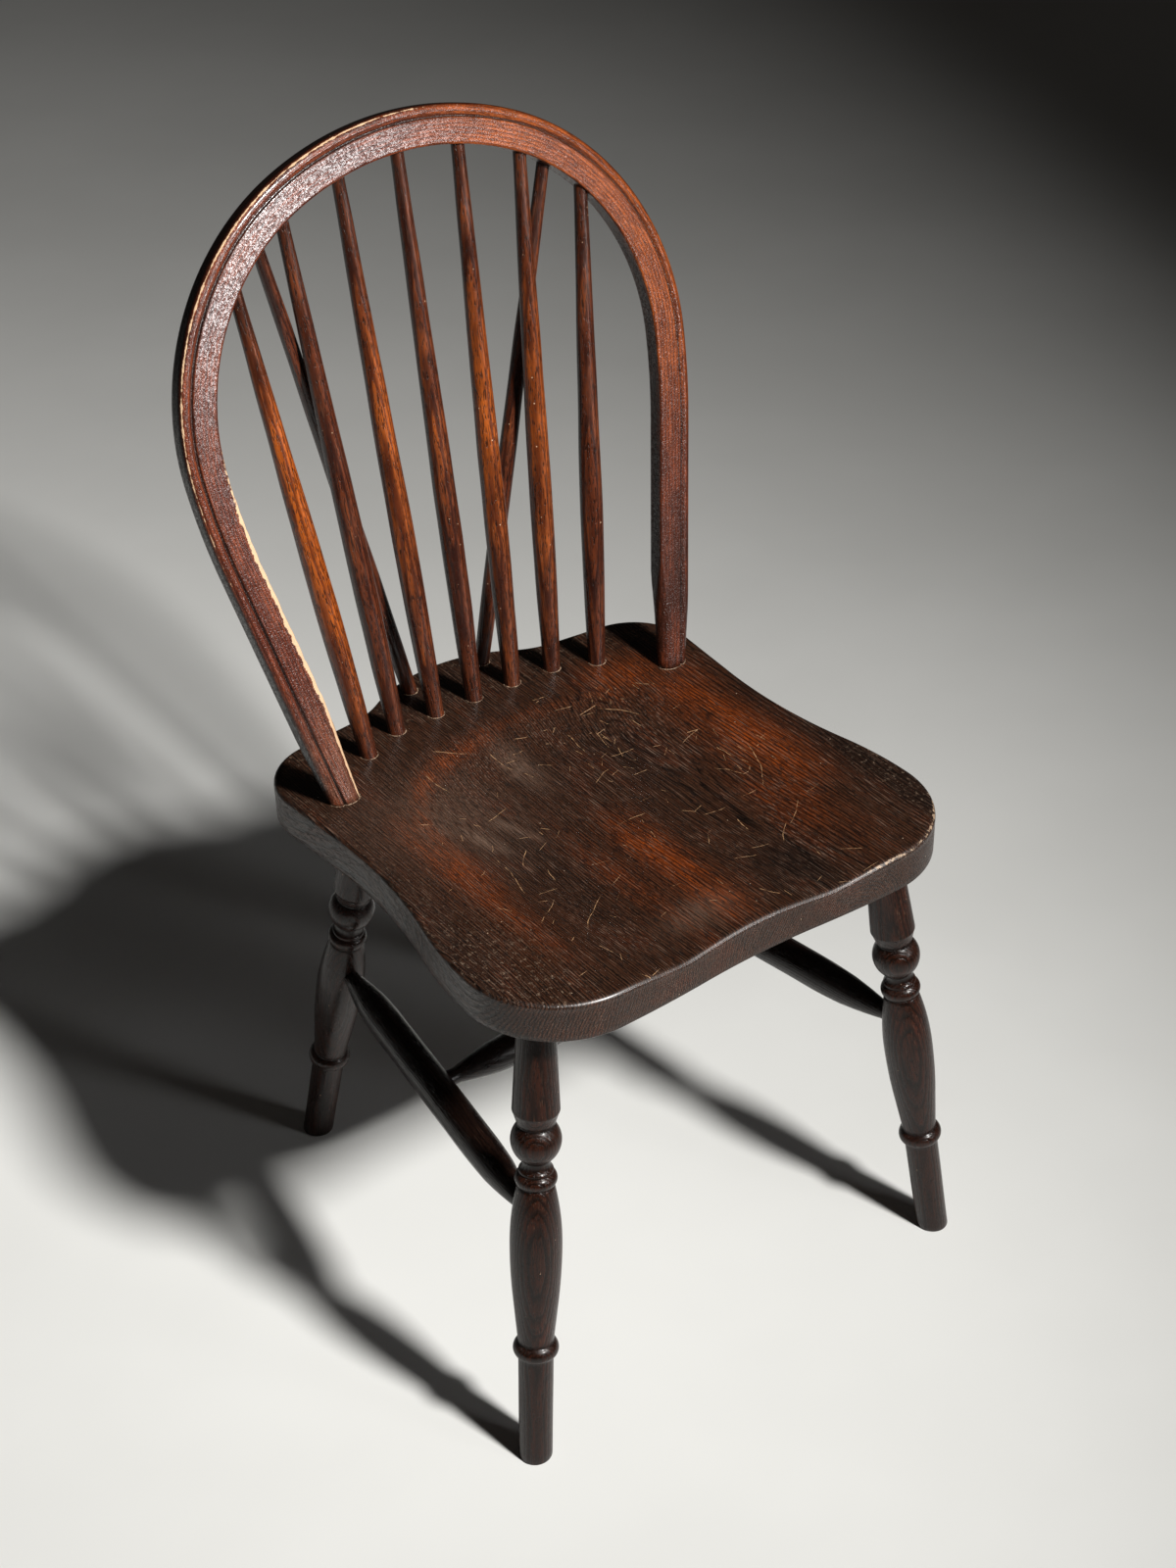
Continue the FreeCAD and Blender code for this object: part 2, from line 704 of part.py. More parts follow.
leg_holes = {name: [] for name in LEG_AXES}
cross_ends = []
side_rails = {}
for side in ("left", "right"):
    rear = leg_point("leg_rear_" + side, 215.5)
    front = leg_point("leg_front_" + side, 221.5)
    name = "side_stretcher_" + side
    side_rails[side] = rail(name, rear, front, -4.0)
    leg_holes["leg_rear_" + side].append(rail_hole(name + "_rear_hole", rear, front, -4.0))
    leg_holes["leg_front_" + side].append(rail_hole(name + "_front_hole", front, rear, -4.0))
    cross_ends.append(rear + (front - rear) * 0.505)
parts["cross_stretcher"] = rail("cross_stretcher", cross_ends[0], cross_ends[1], -2.5)
for side, near_end, far_end in (("left", *cross_ends), ("right", *reversed(cross_ends))):
    hole = rail_hole("cross_hole_" + side, near_end, far_end, -2.5)
    parts["side_stretcher_" + side] = cut("side_rail_" + side, side_rails[side], [hole])
for name in LEG_AXES:
    levelled = cut(name + "_levelled", leg_blanks[name], [below_floor])
    parts[name] = cut(name + "_bored", levelled, leg_holes[name])
parts["seat"] = cut("seat_bored", bevelled, seat_holes)
doc.recompute()

# Write one file per piece

for item in doc.Objects:
    if "Invalid" in item.State or "Error" in item.State:
        raise RuntimeError("not built: " + item.Name)
os.makedirs("parts", exist_ok=True)
for node, item in parts.items():
    shape = item.Shape
    if shape.isNull() or not shape.isValid() or len(shape.Solids) != 1:
        raise RuntimeError("bad solid: %s %d" % (node, len(shape.Solids)))
    item.Label = node
    shape.exportStep("parts/%s.step" % node)
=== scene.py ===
"""A hoop-back stick chair in dark, rubbed and varnished hardwood, on a plain studio floor.

Metres, Z up, +Y is the chair's back. Sizes are written in millimetres and scaled by MM.
"""
from math import atan2, ceil, cos, pi, radians, sin, sqrt, tau

import bpy
import numpy as np
from mathutils import Matrix, Vector, noise


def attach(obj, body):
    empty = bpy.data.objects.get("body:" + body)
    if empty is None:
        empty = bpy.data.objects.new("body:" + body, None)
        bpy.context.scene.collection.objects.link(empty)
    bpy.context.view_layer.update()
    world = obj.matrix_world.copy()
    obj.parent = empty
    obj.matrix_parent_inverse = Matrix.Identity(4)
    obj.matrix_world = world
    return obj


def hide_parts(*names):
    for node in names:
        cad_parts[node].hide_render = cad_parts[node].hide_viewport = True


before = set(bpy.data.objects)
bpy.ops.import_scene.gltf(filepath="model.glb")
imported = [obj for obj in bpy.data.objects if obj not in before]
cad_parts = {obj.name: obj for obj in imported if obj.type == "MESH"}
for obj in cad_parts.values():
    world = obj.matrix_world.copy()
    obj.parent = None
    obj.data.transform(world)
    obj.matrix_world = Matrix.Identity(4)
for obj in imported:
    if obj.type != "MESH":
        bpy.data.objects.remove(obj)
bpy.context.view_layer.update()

MM = 0.001
SEAT_TOP, SEAT_THICK = 440.0, 35.0
UNDER_SEAT = SEAT_TOP - SEAT_THICK
SADDLE_DEPTH = 11.0
# The seat's top edge is rounded to ARRIS, and its bottom edge is cut back by BEVEL.
ARRIS, BEVEL = 4.0, 3.0
# Left out between a piece and the seat it enters, so that their surfaces never coincide.
HAIR = 0.05


# Lines and arcs, in millimetres


def arc_points(start, end, radius, steps):
    """Points after start, up to end; a positive radius turns left, a negative one right."""
    x0, y0 = start
    x1, y1 = end
    chord = sqrt((x1 - x0) ** 2 + (y1 - y0) ** 2)
    side = 1 if radius > 0 else -1
    size = max(abs(radius), chord / 2)
    rise = sqrt(max(0.0, size * size - chord * chord / 4))
    cx = (x0 + x1) / 2 - (y1 - y0) / chord * side * rise
    cy = (y0 + y1) / 2 + (x1 - x0) / chord * side * rise
    first = atan2(y0 - cy, x0 - cx)
    turn = (atan2(y1 - cy, x1 - cx) - first) % tau
    if side < 0:
        turn -= tau
    return [
        (cx + size * cos(first + turn * k / steps), cy + size * sin(first + turn * k / steps))
        for k in range(1, steps + 1)
    ]


def drawn(start, legs, longest, arc_steps):
    """Points along lines (x, y) and arcs (x, y, radius), no further apart than longest."""
    points = [start]
    for leg in legs:
        end = leg[:2]
        x0, y0 = points[-1]
        steps = max(1, ceil(sqrt((end[0] - x0) ** 2 + (end[1] - y0) ** 2) / longest))
        if len(leg) == 3:
            points += arc_points((x0, y0), end, leg[2], max(steps, arc_steps))
        else:
            for k in range(1, steps + 1):
                points.append((x0 + (end[0] - x0) * k / steps, y0 + (end[1] - y0) * k / steps))
    return points


def soft_step(value, low, high):
    """Nought up to low, one from high on, with a smooth change between."""
    ratio = np.clip((value - low) / (high - low), 0.0, 1.0)
    return ratio * ratio * (3.0 - 2.0 * ratio)


def bell(value, middle, width):
    """One at the middle, fading away on both sides."""
    return np.exp(-(((value - middle) / width) ** 2))


# Meshes from rings of points


def new_piece(name, points, faces):
    """A smooth mesh from points in millimetres, carried by the chair's one body."""
    mesh = bpy.data.meshes.new(name)
    mesh.from_pydata([tuple(p) for p in np.asarray(points) * MM], [], faces)
    mesh.shade_smooth()
    piece = bpy.data.objects.new(name, mesh)
    bpy.context.scene.collection.objects.link(piece)
    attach(piece, "root")
    return piece


def ring_faces(rings, around):
    """Quads between rings of points, with a fan of triangles over each end's middle point."""
    faces = []
    for k in range(rings - 1):
        low, high = k * around, (k + 1) * around
        for j in range(around):
            following = (j + 1) % around
            faces.append((low + j, low + following, high + following, high + j))
    middle, last = rings * around, (rings - 1) * around
    faces += [(middle, (j + 1) % around, j) for j in range(around)]
    faces += [(middle + 1, last + j, last + (j + 1) % around) for j in range(around)]
    return faces


def store(piece, name, values):
    """Keep one value or vector for every point of the mesh, for the materials to read."""
    values = np.asarray(values, np.float32)
    kind = "FLOAT" if values.ndim == 1 else "FLOAT_VECTOR"
    attribute = piece.data.attributes.new(name, kind, "POINT")
    attribute.data.foreach_set("value" if values.ndim == 1 else "vector", values.ravel())


# Turned pieces: legs, sticks, braces and stretchers


def along(start, end):
    """Matrix that lays local Z on the line from start to end, in millimetres."""
    start, end = Vector(start), Vector(end)
    turn = Vector((0, 0, 1)).rotation_difference(end - start)
    return Matrix.Translation(start) @ turn.to_matrix().to_4x4()


def relief_of(profile):
    """How far each point stands out from its neighbourhood: rings above nought, necks below."""
    neighbourhood, full_relief, least_gap = 9.0, 3.0, 0.05
    radius = np.array([r for r, _ in profile])
    height = np.array([h for _, h in profile])
    weight = np.exp(-(((height[:, None] - height[None, :]) / neighbourhood) ** 2))
    gap = np.gradient(height)
    weight = weight * np.maximum(np.abs(gap), least_gap)[None, :]
    return np.clip((radius - (weight * radius).sum(1) / weight.sum(1)) / full_relief, -1.0, 1.0)


def turn_piece(name, node, start, end, profile, around, seed, uneven,
               level=(), warmth=0.0):
    """Spin a profile of (radius, height) about the line from start to end.

    Uneven is how far, in millimetres, the surface sways from round. Each ring named in level is
    slid along the axis until it lies at the world height given there. Warmth is how far the
    stain has been handled through to the reddish wood, most of all half way up.
    """
    lay = along(start, end)
    rings = []
    for radius, height in profile:
        for j in range(around):
            angle = tau * j / around
            sway = noise.noise(Vector((cos(angle), sin(angle), height / 45.0 + seed * 7.3)))
            size = radius * (1.0 + uneven * sway / max(radius, 6.0))
            rings.append(Vector((size * cos(angle), size * sin(angle), height)))
    axis = (Vector(end) - Vector(start)).normalized()
    local = rings + [Vector((0, 0, profile[0][1])), Vector((0, 0, profile[-1][1]))]
    placed = [lay @ p for p in local]
    for ring, height in level:
        row = range(ring * around, (ring + 1) * around)
        for index in list(row) + ([len(rings)] if ring == 0 else []):
            placed[index] = placed[index] - axis * ((placed[index].z - height) / axis.z)
    piece = new_piece(name, placed, ring_faces(len(profile), around))
    shift = np.array([seed * 0.37, seed * 0.53, seed * 1.9])
    store(piece, "grain", np.array(local) * MM + shift)
    relief = np.repeat(relief_of(profile), around)
    store(piece, "relief", np.append(relief, [0.0, 0.0]))
    low, high = profile[0][1], profile[-1][1]
    share = np.repeat([(h - low) / (high - low) for _, h in profile], around)
    share = np.append(share, [0.0, 1.0])
    store(piece, "warmth", warmth * bell(share, 0.52, 0.30))
    by_head, by_foot = soft_step(share, 0.72, 1.0), soft_step(-share, -0.12, 0.0)
    store(piece, "soiled", 0.8 * by_head + 0.4 * by_foot)
    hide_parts(node)
    return piece


# Each leg's axis, from its foot to the level of the seat's top.
LEG_LINES = {
    "leg_front_left": ((-210.4, -215.5, 0.0), (-160.7, -168.9, SEAT_TOP)),
    "leg_front_right": ((210.4, -215.5, 0.0), (160.7, -168.9, SEAT_TOP)),
    "leg_rear_left": ((-149.0, 212.3, 0.0), (-125.0, 104.4, SEAT_TOP)),
    "leg_rear_right": ((149.0, 212.3, 0.0), (125.0, 104.4, SEAT_TOP)),
}
# (radius, height) of the worn foot.
LEG_FOOT = [(11.9, 0.0), (12.9, 0.5), (13.2, 1.3)]


def bulge(radius, root, half):
    """Radius of the arc that swells from root to radius over half its length."""
    rise = radius - root
    return (half ** 2 + rise ** 2) / (2 * rise)


def leg_profile(length):
    """Foot, ring, vase, collar, ball and tapering cone, with the peg that enters the seat."""
    ring, vase, collar, ball, cone, peg = 17.9, 20.0, 16.2, 19.3, 18.0, 12.0
    ball_top = sqrt(ball ** 2 - 13.0 ** 2)
    under = length * UNDER_SEAT / SEAT_TOP
    legs = [
        (13.8, 97.8), (14.0, 98.4),
        (ring, 105.0, bulge(ring, 14.0, 6.6)), (14.0, 111.6, bulge(ring, 14.0, 6.6)),
        (13.6, 112.4), (14.1, 113.6), (17.7, 152.0),
        (vase, 203.0, bulge(vase, 17.7, 51.0)), (14.1, 256.0, bulge(vase, 14.1, 53.0)),
        (13.3, 256.8), (collar, 262.2, bulge(collar, 13.3, 5.4)),
        (13.3, 267.6, bulge(collar, 13.3, 5.4)),
        (12.5, 268.2), (13.3, 269.8, bulge(13.3, 12.5, 1.6)),
        (12.5, 271.4, bulge(13.3, 12.5, 1.6)),
        (10.9, 276.2, -7.0), (10.9, 278.4), (11.6, 279.6),
        (ball, 296.3, 22.4), (ball_top, 309.3, ball),
        (13.5, 310.2), (14.5, 311.4), (17.3, 321.0), (cone, 323.6, 3.6),
        (14.1, under - 6.0),
    ]
    pegged = [(14.1, under), (peg, under), (peg, under + 24.0)]
    return LEG_FOOT + drawn((13.22, 6.0), legs, longest=2.6, arc_steps=6) + pegged


def leg_point(name, height):
    """Where a leg's axis passes a height above the floor."""
    foot, head = LEG_LINES[name]
    return Vector(f + (h - f) * height / SEAT_TOP for f, h in zip(foot, head))


def rail_profile(length, reach_in):
    """Slim ends, a swelling flank and a level belly."""
    peg, belly, near, hollow = 7.0, 14.5, 22.0, 420.0
    flank, full, swell = 0.175 * length, 0.285 * length, 1.2
    flank_r = belly - swell
    turn = ((full - flank) ** 2 + swell ** 2) / (2 * swell)
    legs = [
        (peg, near), (flank_r, flank, hollow), (belly, full, turn), (belly, length - full),
        (flank_r, length - flank, turn), (peg, length - near, hollow), (peg, length - reach_in),
    ]
    return drawn((peg, reach_in), legs, longest=4.0, arc_steps=6)


def stick_profile(length, seat_r, belly_r, tip_r):
    """Thickest a third of the way up, then a long taper to the hoop."""
    seat_end, tip_start = 6.0, length - 9.0
    belly, shoulder = 0.31 * length, 0.52 * length
    fall = (belly_r - tip_r) / (tip_start - (belly + shoulder) / 2)
    shoulder_r = belly_r - fall * (shoulder - belly) / 2
    swell = belly_r - seat_r
    low_turn = ((belly - seat_end) ** 2 + swell ** 2) / (2 * swell)
    high_turn = (shoulder - belly) / sin(atan2(fall, 1.0))
    legs = [
        (seat_r, seat_end), (belly_r, belly, low_turn), (shoulder_r, shoulder, high_turn),
        (tip_r, tip_start), (tip_r, length + 12.0),
    ]
    return drawn((seat_r, -18.0), legs, longest=5.0, arc_steps=6)


# The bent hoop

HOOP_WIDTH, HOOP_DEPTH, HOOP_LEAN = 30.0, 17.0, radians(15.5)
# Its feet splay outward, in degrees, along a straight rise on each side.
HOOP_BASE_Y, HOOP_BASE_HALF, HOOP_SPLAY, HOOP_RISE = 87.7, 159.5, 11.8, 203.7
# (radius, degrees) of the bends above the straight; the crown closes the curve.
HOOP_BENDS = ((537.0, 7.86), (189.3, 69.8))
# Radius of the bead along the outer edge, and depth of the scribed line beside it.
BEAD, SCRIBE = 5.0, 1.7
# Radius of the round tenons, and the heights at which they start and end.
HOOP_TENON, HOOP_TENON_ENDS = 8.2, (SEAT_TOP + 0.02, UNDER_SEAT - 0.12)
HOOP_UP = np.array([0.0, sin(HOOP_LEAN), cos(HOOP_LEAN)])
HOOP_FRONT = np.array([0.0, -cos(HOOP_LEAN), sin(HOOP_LEAN)])
HOOP_BASE = np.array([0.0, HOOP_BASE_Y, SEAT_TOP])


def hoop_arcs():
    """Right-hand bends and crown, as (centre x, centre up, radius, first heading, turn)."""
    heading = 90.0 - HOOP_SPLAY
    x = HOOP_BASE_HALF + HOOP_RISE * cos(radians(heading))
    y = HOOP_RISE * sin(radians(heading))
    arcs = []
    for bend in HOOP_BENDS + ("crown",):
        if bend == "crown":
            radius, turn = x / sin(radians(heading)), 180.0 - heading
        else:
            radius, turn = bend
        cx = x - radius * sin(radians(heading))
        cy = y + radius * cos(radians(heading))
        arcs.append((cx, cy, radius, heading, turn))
        heading += turn
        x = cx + radius * sin(radians(heading))
        y = cy - radius * cos(radians(heading))
    return arcs


def hoop_line(step):
    """Stations (x, up, heading, distance) over the crown, and the distance to its middle.

    They start at the right foot and end at the left one.
    """
    arcs = hoop_arcs()
    heading = radians(90.0 - HOOP_SPLAY)
    count = ceil(HOOP_RISE / step)
    half = []
    for k in range(count):
        s = HOOP_RISE * k / count
        half.append((HOOP_BASE_HALF + s * cos(heading), s * sin(heading), heading, s))
    gone = HOOP_RISE
    for cx, cy, radius, first, turn in arcs:
        count = ceil(radius * radians(turn) / step)
        for k in range(count):
            way = radians(first + turn * k / count)
            half.append((cx + radius * sin(way), cy - radius * cos(way), way,
                         gone + radius * radians(turn) * k / count))
        gone += radius * radians(turn)
    cx, cy, radius, _, _ = arcs[-1]
    crown = [(0.0, cy + radius, pi, gone)]
    other = [(-x, y, tau - way, 2 * gone - s) for x, y, way, s in reversed(half)]
    return half + crown + other, gone


def inner_edge(across):
    """World height at which the hoop's inner edge passes over a place across the chair."""
    _, shoulder, crown = hoop_arcs()
    crown_half = (crown[2] - HOOP_WIDTH / 2) * sin(radians(crown[3]))
    cx, cy, radius = crown[:3] if abs(across) < crown_half else shoulder[:3]
    inner = radius - HOOP_WIDTH / 2
    return SEAT_TOP + (cy + sqrt(inner ** 2 - (abs(across) - cx) ** 2)) * cos(HOOP_LEAN)


def on_hoop(across, height, depth=0.0):
    """Point of the hoop's leaning plane, moved depth towards the front."""
    up = (height - SEAT_TOP) / cos(HOOP_LEAN)
    return HOOP_BASE + np.array([across, 0, 0]) + HOOP_UP * up + HOOP_FRONT * depth


def hoop_section():
    """Flat front with a bead and a scribed line by its outer edge: (across, towards the front)."""
    hw, hd = HOOP_WIDTH / 2, HOOP_DEPTH / 2
    bead_x, bead_y = hw - BEAD, hd - BEAD
    groove_y = hd - SCRIBE
    groove_in = bead_x - sqrt(BEAD ** 2 - (groove_y - bead_y) ** 2)
    legs = [
        (-hw + 3.0, -hd, 3.0), (-hw + 3.4, -hd), (hw - 3.9, -hd), (hw - 3.5, -hd),
        (hw, -hd + 3.5, 3.5), (hw, bead_y), (bead_x, hd, BEAD),
        (groove_in, groove_y, BEAD), (groove_in - 0.9, groove_y), (groove_in - 1.35, hd - 0.45),
        (groove_in - 2.0, hd), (groove_in - 2.6, hd),
        (-hw + 2.2, hd), (-hw + 1.8, hd), (-hw, hd - 1.8, 1.8), (-hw, hd - 2.2),
        (-hw, -hd + 3.4), (-hw, -hd + 3.0),
    ]
    return drawn((-hw, -hd + 3.0), legs, longest=2.4, arc_steps=4)[:-1]


# Distance up the foot, shift outward, half width and half depth of the oval it is shaved to.
FOOT_OVALS = np.array([
    (-60.0, 1.5, 12.5, 8.7), (-4.0, 1.5, 12.5, 8.7), (34.0, 1.2, 14.7, 10.0),
    (104.0, 0.0, 20.6, 13.2),
])
SHAVED_TO = 100.0


def shaved(u, v, s):
    """Bring a point of the hoop's section inside the oval to which its foot is shaved."""
    if s > SHAVED_TO:
        return u, v
    shift, half_across, half_deep = (
        np.polyval(np.polyfit(FOOT_OVALS[:, 0], FOOT_OVALS[:, k], 3), s) for k in (1, 2, 3))
    reach = sqrt(((u - shift) / half_across) ** 2 + (v / half_deep) ** 2)
    if reach <= 1.0:
        return u, v
    return shift + (u - shift) / reach, v / reach


def hoop_wear(u, v, s, half):
    """How worn the inner and the outer front arris are at a point of the section, s along."""
    hw, hd = HOOP_WIDTH / 2, HOOP_DEPTH / 2
    outer = bell(sqrt((u - hw + 1.4) ** 2 + (v - hd + 1.4) ** 2), 0.0, 1.5)
    lower_left = soft_step(s, half + 230.0, half + 400.0)
    inner = bell(sqrt((u + hw - 0.5) ** 2 + (v - hd + 0.5) ** 2), 0.0, 1.5 + 3.2 * lower_left)
    upper_left = soft_step(s, half - 170.0, half + 60.0) * soft_step(2 * half - s, 120.0, 330.0)
    return inner * (0.25 + 0.95 * lower_left), outer * (0.35 + 0.65 * upper_left)


def hoop_line_and_painted_shade(u, v):
    """Black in the scribed line, and painted shade: black on the outer side and some of it on the
    inner side.
    """
    hw, hd = HOOP_WIDTH / 2, HOOP_DEPTH / 2
    scribed = bell(u, hw - BEAD - 4.4, 1.1) * soft_step(v, 4.0, 6.0)
    # Painted shade on the outer side, and less of it on the inner side.
    outer_side = soft_step(u, hw - 1.5, hw - 0.6) * soft_step(-v, 0.4 * BEAD - hd, 0.7 * BEAD - hd)
    inner_side = soft_step(-u, hw - 0.8, hw) * soft_step(-v, 3.0 - hd, 6.0 - hd)
    return max(scribed, 0.92 * outer_side, 0.6 * inner_side)


def build_hoop():
    """The hoop with its chipped arrises, and the two rings where its feet enter the seat."""
    stations, half = hoop_line(step=3.6)
    section = hoop_section()
    around = len(section)
    hw, hd = HOOP_WIDTH / 2, HOOP_DEPTH / 2
    points, grain, wear, line_and_painted_shade = [], [], [], []
    length = 2 * half
    chip = noise.noise
    for x, up, way, s in stations:
        from_foot = min(s, length - s)
        outward = np.array([sin(way), 0, 0]) - HOOP_UP * cos(way)
        centre = HOOP_BASE + np.array([x, 0, 0]) + HOOP_UP * up
        for u, v in section:
            nick = chip(Vector((s / 7.0, u / 9.0, v / 9.0))) + 0.5 * chip(Vector((s / 2.3, u, v)))
            worn_in, worn_out = hoop_wear(u, v, s, half)
            bite = 0.55 * worn_in * max(0.0, nick + 0.15) + 0.25 * worn_out * max(0.0, nick)
            u, v = u * (1 - bite / hw), v * (1 - bite / hd)
            u, v = shaved(u, v, from_foot)
            points.append(centre + outward * u + HOOP_FRONT * v)
            grain.append((u, v, s))
            wear.append(max(worn_in, worn_out))
            line_and_painted_shade.append(hoop_line_and_painted_shade(u, v))
    rings = len(stations)
    points = np.array(points)
    # The two ends are cut along the seat, then a round tenon goes on through it.
    tails = []
    for end, direction in ((0, 1), (rings - 1, -1)):
        way = stations[end][2]
        axis = np.array([cos(way), 0, 0]) + HOOP_UP * sin(way)
        if direction < 0:
            axis = -axis
        ring = points[end * around:(end + 1) * around]
        slide = (SEAT_TOP + HAIR - ring[:, 2]) / axis[2]
        points[end * around:(end + 1) * around] = ring + axis * slide[:, None]
        centre = HOOP_BASE + np.array([stations[end][0], 0, 0])
        spokes = ring - centre
        spokes = spokes / np.linalg.norm(spokes, axis=1)[:, None] * HOOP_TENON
        collars = []
        for level in HOOP_TENON_ENDS:
            base = centre + spokes
            collars.append(base + axis * ((level - base[:, 2]) / axis[2])[:, None])
        tails.append(collars)
    (right_high, right_low), (left_high, left_low) = tails
    caps = np.array([right_low.mean(0), left_low.mean(0)])
    every = np.concatenate([right_low, right_high, points, left_high, left_low, caps])
    piece = new_piece("hoop_bent", every, ring_faces(rings + 4, around))

    def with_tenons(values):
        """The values of the bent part, with nought for the tenons hidden in the seat."""
        values = np.asarray(values, float)
        tenon = np.zeros((2 * around,) + values.shape[1:])
        return np.concatenate([tenon, values, tenon, tenon[:2]])

    store(piece, "grain", with_tenons(grain) * MM)
    store(piece, "wear", with_tenons(wear))
    store(piece, "line_and_painted_shade", with_tenons(line_and_painted_shade))
    store(piece, "share", with_tenons(np.repeat([s / length for _, _, _, s in stations], around)))
    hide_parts("hoop")
    return piece, [points[:around], points[(rings - 1) * around:]]


# The seat board


# Right half of the board's outline from the front middle: (radius, degrees) of each bend, hollow
# where the radius is negative, ("straight", length), and the round of the tail that closes it.
SEAT_FRONT_Y = -226.7
SEAT_OUTLINE = (
    (-700.0, 4.4), (1000.0, 4.4), (80.0, 90.0), (300.0, 13.06), (-434.6, 17.56),
    ("straight", 66.0), (54.0, 88.5), ("straight", 49.0), (-75.0, 27.0), ("tail", None),
)
# Middle of the rings that cover the board's two faces.
SEAT_HEART = np.array([0.0, -20.0])


def seat_rim(step):
    """Points round the board's edge with their inward directions, from the front middle."""
    x, y, heading = 0.0, SEAT_FRONT_Y, 0.0
    right = [(x, y, heading)]
    for radius, amount in SEAT_OUTLINE:
        if radius == "straight":
            count = ceil(amount / step)
            for k in range(1, count + 1):
                right.append((x + amount * k / count * cos(radians(heading)),
                              y + amount * k / count * sin(radians(heading)), heading))
            x, y, _ = right[-1]
            continue
        if radius == "tail":
            radius = x / sin(radians(180.0 - heading))
            amount = 180.0 - heading
        turn = amount if radius > 0 else -amount
        cx = x - radius * sin(radians(heading))
        cy = y + radius * cos(radians(heading))
        count = max(3, ceil(abs(radius) * radians(amount) / step))
        for k in range(1, count + 1):
            way = heading + turn * k / count
            right.append((cx + radius * sin(radians(way)), cy - radius * cos(radians(way)), way))
        x, y, heading = right[-1]
    left = [(-px, py, 360.0 - way) for px, py, way in reversed(right[1:-1])]
    rim = np.array(right + left)
    way = np.radians(rim[:, 2])
    return rim[:, :2], np.stack([-np.sin(way), np.cos(way)], 1)


def reach_of(x, y):
    """Nought in the middle of the dish, about one at its edge."""
    side = np.abs(x)
    front = side / (124.0 + 31.0 * soft_step(y, -231.0, -60.0))
    back = ((side / 155.0) ** 2.5 + (np.maximum(y + 40.0, 0.0) / 150.0) ** 2.5) ** 0.4
    return np.where(y < -40.0, front, back)


def saddle(x, y):
    """Depth of the dish: two thigh hollows, a low ridge between them, a raised rear rim."""
    bowl = soft_step(1.04 - reach_of(x, y), 0.0, 0.52)
    front = 0.40 + 0.60 * soft_step(y, -240.0, -70.0)
    crest = 0.78 - 0.68 * soft_step(y, -230.0, 90.0)
    ridge = 1.0 - crest * np.maximum(0.0, 1.0 - (x / 75.0) ** 2) ** 2
    return SADDLE_DEPTH * bowl * front * ridge


def top_at(xy):
    """Height of the saddled top."""
    return SEAT_TOP - saddle(xy[:, 0], xy[:, 1])


def seat_rings(rim, inward):
    """Rings from under the board, up its side and in over its top, each with its share of wear."""
    around = len(rim)
    rings, tags = [], []
    # Steps across the underside, up the side, round the arris and in over the top.
    under, side, arris, top = 14, 6, 6, 60

    def add(spot, level, tag):
        rings.append(np.column_stack([spot, np.broadcast_to(level, around)]))
        tags.append(tag)

    bottom_inset = rim + inward * BEVEL
    for k in range(1, under + 1):
        share = (k / under) ** 0.8
        add(SEAT_HEART + (bottom_inset - SEAT_HEART) * share, UNDER_SEAT, 0.0)
    add(rim + inward * 2.2, UNDER_SEAT + 0.8, 0.1)
    add(rim + inward * 0.8, UNDER_SEAT + 2.2, 0.15)
    arris_middle = top_at(rim + inward * ARRIS) - ARRIS
    for k in range(side + 1):
        level = UNDER_SEAT + BEVEL + (arris_middle - UNDER_SEAT - BEVEL) * k / side
        add(rim, level, 0.0 if k < side else 0.3)
    for k in range(1, arris + 1):
        angle = pi / 2 * k / arris
        spot = rim + inward * ARRIS * (1 - cos(angle))
        add(spot, arris_middle + ARRIS * sin(angle), sin(2 * angle) ** 0.7 if k < arris else 0.15)
    inset = rim + inward * ARRIS
    for k in range(1, top):
        spot = SEAT_HEART + (inset - SEAT_HEART) * (1 - (k / top) ** 1.12)
        add(spot, top_at(spot), 0.0)
    return rings, tags


